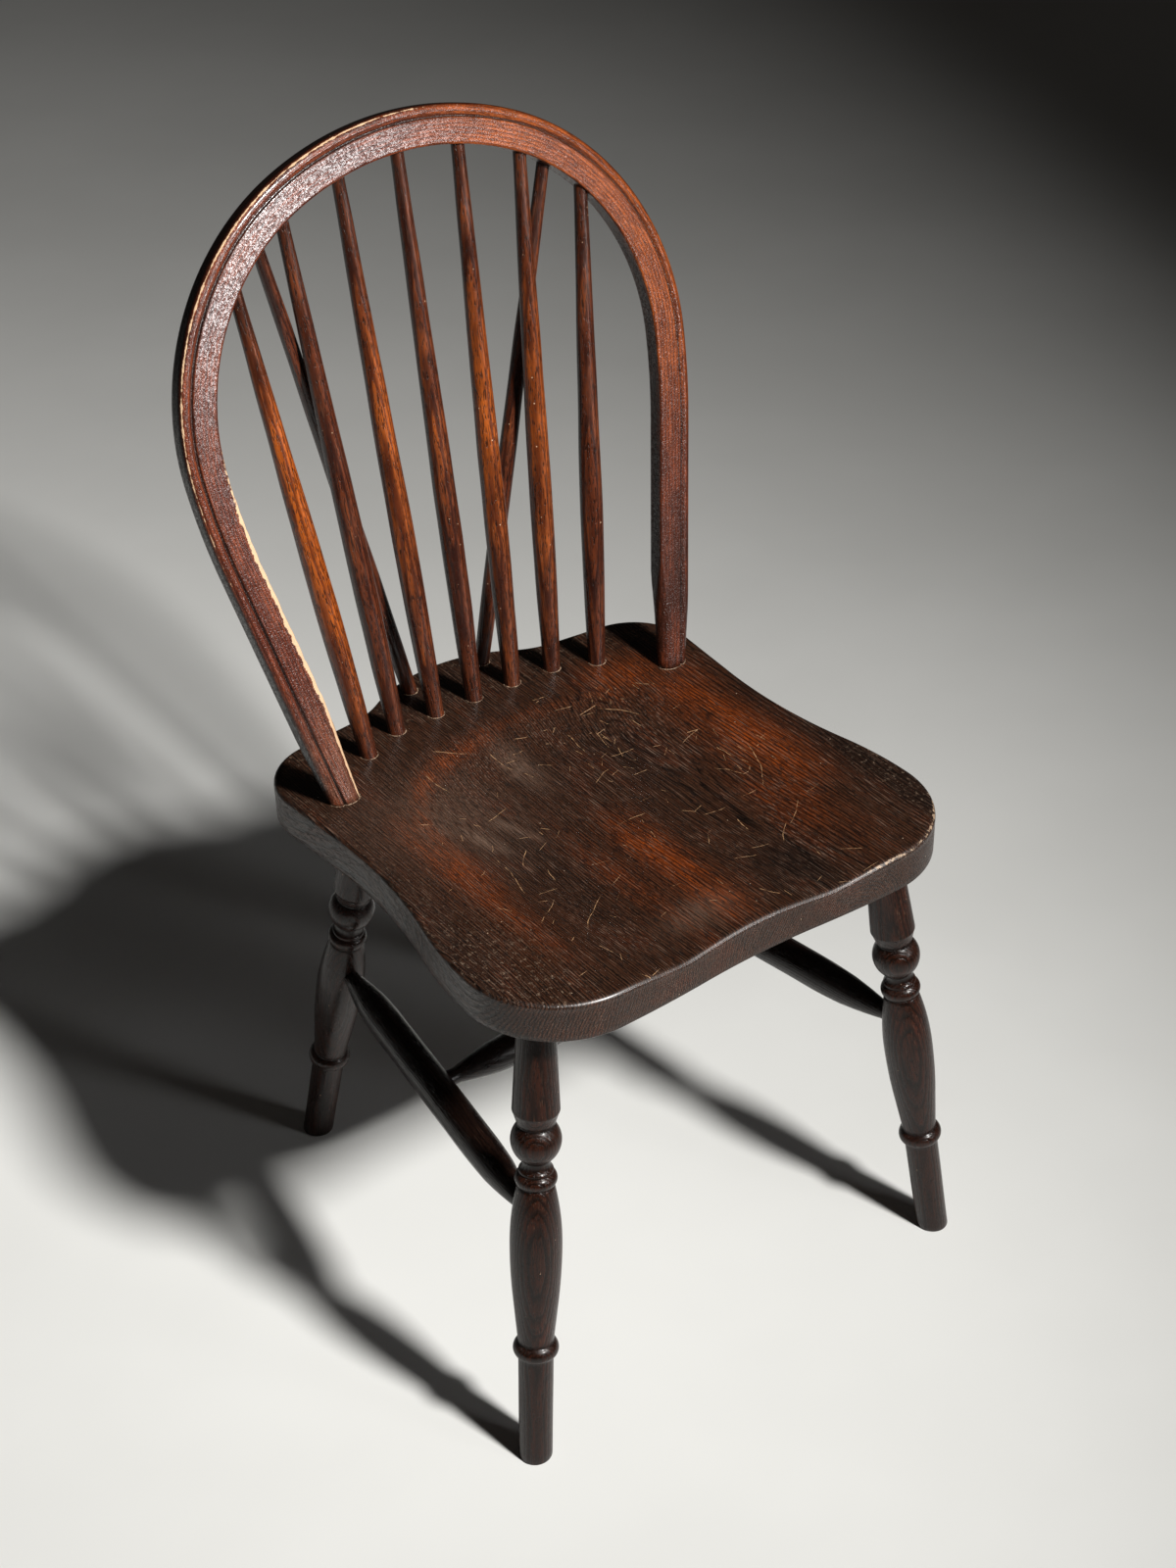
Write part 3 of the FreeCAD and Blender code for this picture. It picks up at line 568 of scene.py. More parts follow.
def build_seat():
    """The saddled board: where it is rubbed, dark, scratched or scuffed, and a painted sheen."""
    rim, inward = seat_rim(step=3.0)
    around = len(rim)
    rings, tags = seat_rings(rim, inward)
    middles = [(*SEAT_HEART, UNDER_SEAT), (*SEAT_HEART, top_at(SEAT_HEART[None])[0])]
    points = np.concatenate(rings + [np.array(middles)])
    piece = new_piece("seat_board", points, ring_faces(len(rings), around))
    x, y, z = points.T
    reach = reach_of(x, y)
    on_top = soft_step(z - SEAT_TOP + saddle(x, y), -1.8, -0.4)
    rear_left = (0.75 * bell(reach, 0.90, 0.055)
                 * soft_step(-x, -10.0, 60.0) * soft_step(y, -90.0, 10.0))
    left_side = (0.85 * bell(x, -140.0, 15.0)
                 * soft_step(-y, -60.0, 0.0) * soft_step(y, -215.0, -30.0))
    rear = 0.30 * bell(reach, 0.93, 0.06) * soft_step(y, 40.0, 100.0)
    ridge = bell(x, -6.0, 17.0) * soft_step(-y, 20.0, 90.0) * soft_step(y, -232.0, -190.0)
    right_side = (bell(x, 146.0, 26.0)
                  * soft_step(-y, -120.0, -40.0) * soft_step(y, -150.0, -70.0))
    right_rear = 0.9 * bell(x, 118.0, 38.0) * bell(y, 100.0, 26.0)
    right_front = 0.6 * bell(x, 118.0, 22.0) * bell(y, -130.0, 60.0)
    inner_left = 0.45 * bell(x, -45.0, 14.0) * bell(y, -130.0, 70.0)
    rubbed = np.maximum.reduce(
        [rear_left, left_side, rear, ridge, right_side, right_rear, right_front, inner_left])
    dark = (0.95 * bell(x, 68.0, 30.0) * bell(y, -185.0, 42.0)
            + 0.55 * bell(x, 58.0, 26.0) * bell(y, 10.0, 55.0)
            + 0.85 * soft_step(x, 158.0, 196.0) * soft_step(-y, -90.0, 10.0)
            + 0.60 * soft_step(y, 132.0, 168.0)
            + 0.45 * soft_step(-x, 168.0, 200.0)
            + 0.35 * bell(x, -70.0, 34.0) * bell(y, -60.0, 70.0))
    marks = (bell(x, 40.0, 34.0) * bell(y, 36.0, 34.0)
             + 0.9 * bell(x, 122.0, 20.0) * bell(y, -45.0, 44.0)
             + 0.6 * bell(x, 95.0, 40.0) * bell(y, 75.0, 18.0)
             + 0.17 * soft_step(1.0 - reach, -0.2, 0.3))
    for name, share in (("rubbed", rubbed), ("shaded", dark), ("scratched", marks)):
        store(piece, name, np.clip(share, 0.0, 1.0) * on_top)
    corners = (soft_step(-x, 128.0, 170.0) * soft_step(-y, 60.0, 150.0)
               + 0.8 * soft_step(x, 168.0, 196.0) * soft_step(-y, 40.0, 120.0)
               + 0.6 * soft_step(y, 128.0, 150.0) + 0.5 * soft_step(-x, 160.0, 190.0))
    store(piece, "scuffed", np.clip(corners, 0.0, 1.0) * on_top)
    # Where a sheen is painted on: streaks in the left hollow, and patches on the ridge and near
    # the front.
    hollow = np.maximum.reduce([
        bell(x + 0.30 * y, -104.0, 11.0) * bell(y, -12.0, 26.0),
        0.8 * bell(x + 0.30 * y, -76.0, 8.0) * bell(y, -12.0, 28.0),
        0.8 * bell(x, -22.0, 13.0) * bell(y, 48.0, 34.0),
        0.45 * bell(x, -110.0, 60.0) * bell(y, 20.0, 60.0),
        0.6 * bell(x, -30.0, 30.0) * bell(y, -190.0, 16.0)])
    store(piece, "sheen_zone", hollow * on_top)
    on_arris = np.append(np.repeat(tags, around), [0.0, 0.0])
    front_right = soft_step(x, 20.0, 120.0) * soft_step(-y, 120.0, 200.0)
    front = soft_step(-y, 190.0, 215.0)
    handled = 0.10 + 0.80 * np.maximum(front_right, 0.6 * front)
    upper = soft_step(z, UNDER_SEAT + 8.0, UNDER_SEAT + 16.0)
    store(piece, "wear", on_arris * handled * upper)
    store(piece, "grain", np.column_stack([x, z - SEAT_TOP, y]) * MM)
    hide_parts("seat")
    return piece


# Shader nodes


def put(tree, kind, wires=(), **settings):
    """Add a shader node, set it and feed its inputs with sockets or plain values."""
    node = tree.nodes.new("ShaderNode" + kind)
    for key, value in settings.items():
        setattr(node, key, value)
    for key, value in dict(wires).items():
        if isinstance(value, bpy.types.NodeSocket):
            tree.links.new(value, node.inputs[key])
        else:
            node.inputs[key].default_value = value
    return node


def calc(tree, operation, first, second=0.0, third=0.0):
    return put(tree, "Math", {0: first, 1: second, 2: third}, operation=operation).outputs[0]


def times(tree, first, second):
    return calc(tree, "MULTIPLY", first, second)


def vector_calc(tree, operation, first, second=(0.0, 0.0, 0.0), out=0):
    return put(tree, "VectorMath", {0: first, 1: second}, operation=operation).outputs[out]


def enlarged(tree, vector, factor):
    return put(tree, "VectorMath", {0: vector, 3: factor}, operation="SCALE").outputs[0]


def counted_in(tree, vector, unit):
    """A place in metres, counted in units of the given length."""
    return enlarged(tree, vector, calc(tree, "DIVIDE", 1.0, unit))


def fade(tree, value, low, high, to_low=0.0, to_high=1.0):
    """Smooth change from one value to another as the input goes from low to high."""
    wires = {0: value, 1: low, 2: high, 3: to_low, 4: to_high}
    return put(tree, "MapRange", wires, interpolation_type="SMOOTHSTEP").outputs[0]


def mix(tree, share, first, second):
    return put(tree, "Mix", {0: share, 6: first, 7: second}, data_type="RGBA").outputs[2]


def over(tree, base, mask, strength, colour):
    """Lay a colour over the base where the mask is."""
    return mix(tree, times(tree, mask, strength), base, colour)


def cloud(tree, vector, scale, detail=3.0, roughness=0.55):
    """Smooth noise about a half, with the scale in lumps per metre."""
    wires = {"Vector": vector, "Scale": scale, "Detail": detail, "Roughness": roughness}
    return put(tree, "TexNoise", wires).outputs[0]


def grain_cloud(tree, grain, stretch, detail, roughness=0.55):
    """Noise with its own number of lumps per metre across and along the grain."""
    return cloud(tree, vector_calc(tree, "MULTIPLY", grain, stretch), 1.0, detail, roughness)


def drift(tree, vector, scale, detail):
    """Three noises about a half, as a vector."""
    return put(tree, "TexNoise", {"Vector": vector, "Scale": scale, "Detail": detail}).outputs[1]


def effect(name, takes, gives):
    """An empty node group with named inputs and outputs."""
    group = bpy.data.node_groups.new(name, "ShaderNodeTree")
    for label, kind, default in takes:
        socket = group.interface.new_socket(
            label, in_out="INPUT", socket_type="NodeSocket" + kind)
        socket.default_value = default
    for label in gives:
        group.interface.new_socket(label, in_out="OUTPUT", socket_type="NodeSocketFloat")
    inside, outside = (group.nodes.new("NodeGroup" + end) for end in ("Input", "Output"))
    return group, inside.outputs, outside.inputs


def use(tree, group, **values):
    """Place a node group in a tree; underscores in the names stand for spaces."""
    wires = {key.replace("_", " "): value for key, value in values.items()}
    return put(tree, "Group", wires, node_tree=group).outputs


def read(tree, name, kind="Fac"):
    """A value, or with Vector a place, that was stored for the points of the mesh."""
    return put(tree, "Attribute", attribute_name=name).outputs[kind]


# Wood effects, each a node group used by several finishes


def make_growth_rings():
    """Growth rings round a pith, fine fibres and open pores, all running along the grain."""
    group, takes, gives = effect(
        "growth rings",
        [("Grain", "Vector", (0, 0, 0)), ("Pith", "Vector", (0.02, -0.03, 0)),
         ("Ring gap", "Float", 0.0024), ("Wander", "Float", 0.008), ("Dark line", "Float", 0.35),
         ("Pore length", "Float", 0.008)],
        ["Rings", "Fibres", "Pores", "Height"])
    grain = takes["Grain"]
    slow = drift(group, vector_calc(group, "MULTIPLY", grain, (11.0, 11.0, 4.5)), 1.0, 1.0)
    wander = vector_calc(group, "SUBTRACT", slow, (0.5, 0.5, 0.5))
    from_pith = vector_calc(
        group, "ADD", vector_calc(group, "SUBTRACT", grain, takes["Pith"]),
        enlarged(group, wander, takes["Wander"]))
    flat = vector_calc(group, "MULTIPLY", from_pith, (1.0, 1.0, 0.0))
    count = calc(group, "DIVIDE", vector_calc(group, "LENGTH", flat, out=1), takes["Ring gap"])
    fine = grain_cloud(group, grain, (230.0, 230.0, 34.0), 2.0)
    part = calc(group, "FRACT", calc(group, "MULTIPLY_ADD", fine, 0.75, count))
    rise = fade(group, calc(group, "DIVIDE", part, takes["Dark line"]), 0.0, 1.0)
    rings = times(group, rise, fade(group, part, 0.86, 1.0, 1.0, 0.0))
    fibres = grain_cloud(group, grain, (1500.0, 1500.0, 45.0), 2.0, 0.6)
    along_grain = calc(group, "DIVIDE", 1.0, takes["Pore length"])
    stretch = put(group, "CombineXYZ", {0: 1150.0, 1: 1150.0, 2: along_grain}).outputs[0]
    dashes = grain_cloud(group, grain, stretch, 1.0, 0.5)
    early = calc(group, "MULTIPLY_ADD", rings, -0.09, 0.66)
    pores = fade(group, calc(group, "SUBTRACT", dashes, early), -0.03, 0.03)
    ridges = calc(group, "MULTIPLY_ADD", rings, 0.8, times(group, pores, -1.0))
    group.links.new(rings, gives["Rings"])
    group.links.new(fibres, gives["Fibres"])
    group.links.new(pores, gives["Pores"])
    group.links.new(calc(group, "MULTIPLY_ADD", fibres, 0.5, ridges), gives["Height"])
    return group


def make_scratches():
    """Short bent strokes, one in each cell of a scattered pattern, thinned out by Amount."""
    group, takes, gives = effect(
        "scratches",
        [("Place", "Vector", (0, 0, 0)), ("Spacing", "Float", 0.02), ("Width", "Float", 0.0004),
         ("Amount", "Float", 0.5), ("Shift", "Float", 0.0)],
        ["Marks"])
    shift = put(group, "CombineXYZ", {0: takes["Shift"], 1: takes["Shift"]}).outputs[0]
    place = counted_in(group, vector_calc(group, "ADD", takes["Place"], shift), takes["Spacing"])
    cells = put(group, "TexVoronoi", {"Vector": place, "Scale": 1.0, "Randomness": 0.9},
                voronoi_dimensions="2D").outputs
    chance = put(group, "SeparateColor", {0: cells["Color"]}).outputs
    gap = vector_calc(group, "SUBTRACT", place, cells["Position"])
    east, north, _ = put(group, "SeparateXYZ", {0: gap}).outputs
    angle = times(group, chance[0], tau)
    c, s = calc(group, "COSINE", angle), calc(group, "SINE", angle)
    x = calc(group, "ADD", times(group, east, c), times(group, north, s))
    y = calc(group, "SUBTRACT", times(group, north, c), times(group, east, s))
    bend = times(group, calc(group, "SUBTRACT", chance[1], 0.5), 0.5)
    bent = calc(group, "SUBTRACT", y, times(group, times(group, x, x), bend))
    thin = calc(group, "DIVIDE", takes["Width"], takes["Spacing"])
    aside = calc(group, "DIVIDE", calc(group, "ABSOLUTE", bent), thin)
    reach = calc(group, "MULTIPLY_ADD", chance[1], 0.34, 0.12)
    onward = calc(group, "DIVIDE", calc(group, "ABSOLUTE", x), reach)
    stroke = times(group, fade(group, aside, 1.0, 0.35), fade(group, onward, 1.0, 0.7))
    here = calc(group, "LESS_THAN", chance[2], takes["Amount"])
    group.links.new(times(group, stroke, here), gives["Marks"])
    return group


def make_worn_edge():
    """Stain rubbed through along an arris, broken up in patches."""
    group, takes, gives = effect(
        "worn edge",
        [("Edge", "Float", 0.0), ("Place", "Vector", (0, 0, 0)), ("Patch size", "Float", 0.01),
         ("Amount", "Float", 0.5)],
        ["Bare"])
    place = counted_in(group, takes["Place"], takes["Patch size"])
    rough = calc(group, "SUBTRACT", cloud(group, place, 1.0, 5.0, 0.7), 0.5)
    push = calc(group, "MULTIPLY_ADD", rough, 1.7, takes["Edge"])
    level = calc(group, "SUBTRACT", 1.25, takes["Amount"])
    bare = fade(group, push, level, calc(group, "ADD", level, 0.16))
    group.links.new(times(group, bare, fade(group, takes["Edge"], 0.04, 0.2)), gives["Bare"])
    return group


def make_crazing():
    """Crazed old varnish: small raised islands with fine cracks between them."""
    group, takes, gives = effect(
        "crazed varnish",
        [("Place", "Vector", (0, 0, 0)), ("Island", "Float", 0.0022)], ["Height", "Cracks"])
    place = counted_in(group, takes["Place"], takes["Island"])
    bent = vector_calc(group, "ADD", place, drift(group, place, 0.9, 2.0))
    gap = put(group, "TexVoronoi", {"Vector": bent, "Scale": 1.0},
              feature="DISTANCE_TO_EDGE").outputs[0]
    dome, lumps = fade(group, gap, 0.0, 0.35), cloud(group, place, 0.35, 2.0)
    group.links.new(fade(group, gap, 0.0, 0.16, 1.0, 0.0), gives["Cracks"])
    group.links.new(calc(group, "MULTIPLY_ADD", lumps, 1.2, dome), gives["Height"])
    return group


def make_specks():
    """Fine pale flecks of dust and old paint."""
    group, takes, gives = effect(
        "pale specks",
        [("Place", "Vector", (0, 0, 0)), ("Spacing", "Float", 0.006), ("Size", "Float", 0.12),
         ("Share", "Float", 0.25)],
        ["Specks"])
    place = counted_in(group, takes["Place"], takes["Spacing"])
    cells = put(group, "TexVoronoi", {"Vector": place, "Scale": 1.0}).outputs
    chance = put(group, "SeparateColor", {0: cells["Color"]}).outputs
    size = times(group, takes["Size"], calc(group, "MULTIPLY_ADD", chance[1], 0.8, 0.4))
    dot = fade(group, calc(group, "DIVIDE", cells["Distance"], size), 1.0, 0.6)
    here = calc(group, "LESS_THAN", chance[0], takes["Share"])
    group.links.new(times(group, dot, here), gives["Specks"])
    return group


GROWTH_RINGS = make_growth_rings()
SCRATCHES = make_scratches()
WORN_EDGE = make_worn_edge()
CRAZING = make_crazing()
SPECKS = make_specks()


# Finishes


def stain(red, green, blue):
    """Colour given as screen levels from 0 to 255."""
    return tuple((((v / 255 + 0.055) / 1.055) ** 2.4 if v > 10 else v / 255 / 12.92)
                 for v in (red, green, blue)) + (1.0,)


def ringed(tree, wood, dark, light):
    """Two stains, the light one on the growth rings."""
    return mix(tree, wood["Rings"], stain(*dark), stain(*light))


def finish_material(name, coat, coat_roughness, specular):
    """A new material with its Principled shader and plain gloss values set on it."""
    material = bpy.data.materials.new(name)
    material.use_nodes = True
    tree = material.node_tree
    skin = tree.nodes["Principled BSDF"]
    skin.inputs["Specular IOR Level"].default_value = specular
    skin.inputs["Coat Weight"].default_value = coat
    skin.inputs["Coat Roughness"].default_value = coat_roughness
    return material, tree, skin


def wire_skin(tree, skin, colour, roughness, height, strength, distance):
    """Feed the shader its colour and roughness, and its normal from a bump."""
    bump = put(tree, "Bump", {"Height": height, "Strength": strength, "Distance": distance})
    tree.links.new(colour, skin.inputs["Base Color"])
    tree.links.new(roughness, skin.inputs["Roughness"])
    tree.links.new(bump.outputs[0], skin.inputs["Normal"])


# Spacing and width in metres, share of the cells kept, and a shift that sets the layers apart.
SCRATCH_LAYERS = (
    (0.060, 0.00034, 0.75, 0.0), (0.047, 0.00030, 0.75, 3.17), (0.039, 0.00028, 0.75, 5.51),
    (0.030, 0.00026, 0.70, 7.73), (0.021, 0.00024, 0.60, 9.29), (0.013, 0.00022, 0.50, 11.41),
)


def seat_scratches(tree, flat, scratched):
    """Pale strokes of several lengths, most of them where the board is scratched."""
    curl = vector_calc(tree, "MULTIPLY", drift(tree, flat, 60.0, 1.0), (0.004, 0.004, 0.0))
    curled = vector_calc(tree, "ADD", flat, curl)
    strokes = None
    for spacing, width, kept, shift in SCRATCH_LAYERS:
        marks = use(tree, SCRATCHES, Place=curled, Spacing=spacing, Width=width,
                    Amount=times(tree, scratched, kept), Shift=shift)[0]
        strokes = marks if strokes is None else calc(tree, "MAXIMUM", strokes, marks)
    return times(tree, strokes, fade(tree, cloud(tree, flat, 200.0, 2.0), 0.36, 0.60, 0.1, 1.0))


def seat_dust_and_sheen(tree, fibres, patchy, fine_rings):
    """Grey dust and old polish in the grain, with a painted sheen of the same grey in the hollows.
    """
    dust = times(tree, fade(tree, fibres, 0.52, 0.66), fade(tree, patchy, 0.40, 0.62, 0.12, 0.50))
    dust = times(tree, dust, fade(tree, fine_rings, 0.3, 0.95, 0.25, 1.3))
    # Painted sheen, laid on as pale grey along the fibres.
    painted_sheen = times(tree, read(tree, "sheen_zone"), fade(tree, fibres, 0.36, 0.62, 0.10, 0.62))
    return calc(tree, "MAXIMUM", dust, painted_sheen)


def seat_finish():
    """Dark stained board, rubbed to orange where people sit, with scratches and dulled pores."""
    material, tree, skin = finish_material(
        "rubbed dark seat", coat=0.15, coat_roughness=0.34, specular=0.3)
    grain = read(tree, "grain", "Vector")
    wood = use(tree, GROWTH_RINGS, Grain=grain, Pith=(0.082, -0.05, 0.0), Ring_gap=0.0027,
               Wander=0.026, Dark_line=0.55, Pore_length=0.006)
    fine = use(tree, GROWTH_RINGS, Grain=grain, Pith=(0.30, -0.16, 0.0), Ring_gap=0.0020,
               Wander=0.020, Dark_line=0.75, Pore_length=0.006)
    patchy = grain_cloud(tree, grain, (38.0, 38.0, 15.0), 4.0, 0.62)
    streaky = grain_cloud(tree, grain, (260.0, 260.0, 11.0), 3.0, 0.6)
    pore_black, streak_brown = stain(9, 5, 4), stain(56, 32, 20)

    base = ringed(tree, wood, (13, 7, 5), (58, 36, 24))
    base = mix(tree, fade(tree, streaky, 0.42, 0.66), base, streak_brown)
    brown = ringed(tree, wood, (32, 14, 7), (74, 35, 17))
    base = mix(tree, fade(tree, patchy, 0.50, 0.68, 0.0, 0.7), base, brown)
    uneven = fade(tree, calc(tree, "ADD", patchy, streaky), 0.7, 1.15, 0.25, 0.95)
    orange = ringed(tree, wood, (72, 28, 7), (128, 57, 14))
    base = over(tree, base, read(tree, "rubbed"), uneven, orange)
    gloom = ringed(tree, wood, (15, 10, 8), (30, 21, 17))
    base = over(tree, base, read(tree, "shaded"), fade(tree, patchy, 0.66, 0.36, 0.45, 1.0), gloom)
    base = over(tree, base, wood["Pores"], 0.75, pore_black)
    base = mix(tree, fade(tree, wood["Fibres"], 0.46, 0.32, 0.0, 0.55), base, stain(12, 7, 5))
    base = mix(tree, fade(tree, fine["Rings"], 0.45, 0.05, 0.0, 0.62), base, pore_black)
    # Grey dust in the grain, and a painted sheen in the same pale grey.
    dust = seat_dust_and_sheen(tree, wood["Fibres"], patchy, fine["Rings"])
    base = mix(tree, dust, base, stain(118, 96, 82))

    plan = put(tree, "SeparateXYZ", {0: grain}).outputs
    flat = put(tree, "CombineXYZ", {0: plan[0], 1: plan[2]}).outputs[0]
    strokes = seat_scratches(tree, flat, read(tree, "scratched"))
    base = over(tree, base, strokes, 0.95, stain(196, 154, 112))
    rough = grain_cloud(tree, flat, (320.0, 210.0, 1.0), 5.0, 0.75)
    scuffs = times(tree, read(tree, "scuffed"), fade(tree, rough, 0.55, 0.66))
    base = over(tree, base, scuffs, 0.5, stain(140, 118, 98))
    wear = read(tree, "wear")
    bare = use(tree, WORN_EDGE, Edge=wear, Place=grain, Patch_size=0.0042, Amount=0.42)["Bare"]
    base = over(tree, base, bare, 0.8, stain(172, 146, 120))
    specks = use(tree, SPECKS, Place=grain, Spacing=0.009, Size=0.055, Share=0.35)[0]
    base = over(tree, base, specks, 0.8, stain(178, 154, 130))

    dull = fade(tree, patchy, 0.3, 0.7, 0.26, 0.38)
    dull = calc(tree, "ADD", dull, times(tree, wood["Pores"], 0.2))
    dull = calc(tree, "ADD", dull, times(tree, calc(tree, "MAXIMUM", bare, scuffs), 0.3))
    height = calc(tree, "SUBTRACT", wood["Height"], times(tree, strokes, 0.7))
    height = calc(tree, "MULTIPLY_ADD", patchy, 1.0, height)
    height = calc(tree, "MULTIPLY_ADD", fine["Rings"], 0.7, height)
    wire_skin(tree, skin, base, dull, height, strength=0.7, distance=0.0004)
    tree.links.new(fade(tree, wear, 0.0, 0.25, 0.12, 1.0), skin.inputs["Coat Weight"])
    return material


def hoop_finish():
    """Reddish stain under thick crazed varnish, worn pale along the arrises."""
    material, tree, skin = finish_material(
        "crazed hoop varnish", coat=0.1, coat_roughness=0.16, specular=0.25)
    grain = read(tree, "grain", "Vector")
    # Nought at the right foot, one at the left foot.
    share = read(tree, "share")
    wood = use(tree, GROWTH_RINGS, Grain=grain, Pith=(0.05, 0.02, 0.0), Ring_gap=0.0031,
               Wander=0.018, Dark_line=0.7, Pore_length=0.010)
    patchy = grain_cloud(tree, grain, (80.0, 80.0, 22.0), 4.0, 0.6)

    base = ringed(tree, wood, (54, 22, 13), (90, 40, 24))
    chestnut = ringed(tree, wood, (70, 29, 13), (114, 52, 26))
    base = mix(tree, fade(tree, patchy, 0.40, 0.64), base, chestnut)
    honey = ringed(tree, wood, (94, 40, 12), (146, 72, 27))
    right_side = times(tree, fade(tree, share, 0.52, 0.42), fade(tree, share, 0.12, 0.26))
    base = over(tree, base, right_side, fade(tree, patchy, 0.32, 0.58, 0.4, 1.0), honey)
    right_foot = fade(tree, share, 0.20, 0.06)
    soil = fade(tree, patchy, 0.62, 0.36, 0.35, 0.85)
    base = over(tree, base, right_foot, soil, stain(50, 26, 18))
    left_foot = fade(tree, share, 0.90, 0.985)
    bleached = fade(tree, wood["Fibres"], 0.44, 0.60, 0.1, 0.6)
    base = over(tree, base, left_foot, bleached, stain(120, 88, 72))
    base = over(tree, base, wood["Pores"], 0.6, stain(26, 11, 7))
    crazed = use(tree, CRAZING, Place=grain, Island=0.0019)
    base = over(tree, base, crazed["Cracks"], 0.5, stain(30, 13, 9))
    # Painted shade on the hoop's outer and inner sides, and black in the scribed line.
    base = mix(tree, read(tree, "line_and_painted_shade"), base, stain(10, 6, 5))
    bare = use(tree, WORN_EDGE, Edge=read(tree, "wear"), Place=grain, Patch_size=0.008,
               Amount=0.55)["Bare"]
    base = mix(tree, bare, base, stain(188, 156, 124))
    specks = use(tree, SPECKS, Place=grain, Spacing=0.0075, Size=0.07, Share=0.28)[0]
    base = over(tree, base, specks, 0.8, stain(190, 156, 132))

    # The gloss is broken into glints by the cracks and by the grain of the old varnish.
    pebbles = grain_cloud(tree, grain, (640.0, 640.0, 430.0), 3.0, 0.7)
    glints = fade(tree, pebbles, 0.46, 0.54, 0.12, 1.0)
    glints = times(tree, glints, fade(tree, crazed["Cracks"], 1.0, 0.0))
    glints = times(tree, glints, fade(tree, bare, 0.6, 0.0))
    tree.links.new(glints, skin.inputs["Coat Weight"])
    dull = calc(tree, "ADD", fade(tree, patchy, 0.3, 0.7, 0.28, 0.40), times(tree, bare, 0.3))
    height = calc(tree, "MULTIPLY_ADD", wood["Height"], 0.3, crazed["Height"])
    wire_skin(tree, skin, base, dull, height, strength=0.8, distance=0.00022)
    return material


def turned_finish(name, tones, specular, ring_gap, warm_share, speck_share):
    """Turned wood: grain along the piece, necks darkened as painted shade, lighter rubbed rings.

    The tones are the dark and the light of a ring, then the same two for the warmer patches.
    """
    material, tree, skin = finish_material(
        name, coat=0.12, coat_roughness=0.15, specular=specular)
    dark, light, warm_dark, warm_light = (stain(*tone) for tone in tones)
    grain = read(tree, "grain", "Vector")
    relief = read(tree, "relief")
    wood = use(tree, GROWTH_RINGS, Grain=grain, Pith=(0.016, 0.021, 0.0), Ring_gap=ring_gap,
               Wander=0.009, Dark_line=0.6, Pore_length=0.007)
    patchy = grain_cloud(tree, grain, (75.0, 75.0, 17.0), 4.0, 0.6)
    streaky = grain_cloud(tree, grain, (420.0, 420.0, 30.0), 3.0, 0.6)

    rings = times(tree, wood["Rings"], fade(tree, streaky, 0.3, 0.62, 0.35, 1.0))
    base = mix(tree, rings, dark, light)
    patches = calc(tree, "MULTIPLY_ADD", read(tree, "warmth"), 0.6, patchy)
    warm = mix(tree, rings, warm_dark, warm_light)
    base = over(tree, base, fade(tree, patches, 0.50, 1.0), warm_share, warm)
    soil = fade(tree, patchy, 0.66, 0.38, 0.25, 0.75)
    base = over(tree, base, read(tree, "soiled"), soil, stain(26, 14, 10))
    base = over(tree, base, wood["Pores"], 0.8, stain(14, 7, 5))
    # Painted shade: the necks and coves darkened almost to black.
    base = mix(tree, fade(tree, relief, -0.1, -0.75, 0.0, 0.85), base, stain(12, 7, 6))
    dusty = fade(tree, patchy, 0.42, 0.62, 0.0, 0.4)
    base = over(tree, base, fade(tree, wood["Fibres"], 0.58, 0.74), dusty, stain(112, 82, 64))
    specks = use(tree, SPECKS, Place=grain, Spacing=0.0062, Size=0.105, Share=speck_share)[0]
    base = over(tree, base, specks, 0.85, stain(190, 158, 130))

    buffed = times(tree, fade(tree, relief, 0.2, 0.9), 0.06)
    dull = calc(tree, "SUBTRACT", fade(tree, patchy, 0.3, 0.7, 0.22, 0.36), buffed)
    height = calc(tree, "MULTIPLY_ADD", patchy, 0.7, wood["Height"])
    wire_skin(tree, skin, base, dull, height, strength=0.6, distance=0.0003)
    return material


def wedge_finish():
    """End grain of the wedged hoop ends under the seat, dry and a little soiled."""
    material, tree, skin = finish_material(
        "dry end grain", coat=0.0, coat_roughness=0.3, specular=0.2)
    place = put(tree, "TexCoord").outputs["Object"]
    wood = use(tree, GROWTH_RINGS, Grain=place, Pith=(0.15, 0.10, 0.0), Ring_gap=0.0019,
               Wander=0.004, Dark_line=0.5, Pore_length=0.004)
    soil = cloud(tree, place, 260.0, 4.0, 0.65)
    base = ringed(tree, wood, (58, 36, 23), (96, 66, 44))
    base = mix(tree, fade(tree, soil, 0.42, 0.66, 0.0, 0.7), base, stain(38, 24, 17))
    base = mix(tree, wood["Pores"], base, stain(22, 13, 9))
    dull = fade(tree, soil, 0.3, 0.7, 0.55, 0.75)
    wire_skin(tree, skin, base, dull, wood["Height"], strength=0.5, distance=0.0002)
    return material


def polish_finish():
    """Old pale polish and dust gathered round the feet of the hoop and sticks."""
    material, tree, skin = finish_material(
        "old dusty polish", coat=0.0, coat_roughness=0.3, specular=0.25)
    crumbs = cloud(tree, put(tree, "TexCoord").outputs["Object"], 900.0, 4.0, 0.7)
    base = mix(tree, fade(tree, crumbs, 0.38, 0.60), stain(60, 42, 32), stain(150, 126, 104))
    dull = fade(tree, crumbs, 0.3, 0.7, 0.45, 0.7)
    wire_skin(tree, skin, base, dull, crumbs, strength=0.7, distance=0.0003)
    return material


# Put the chair together

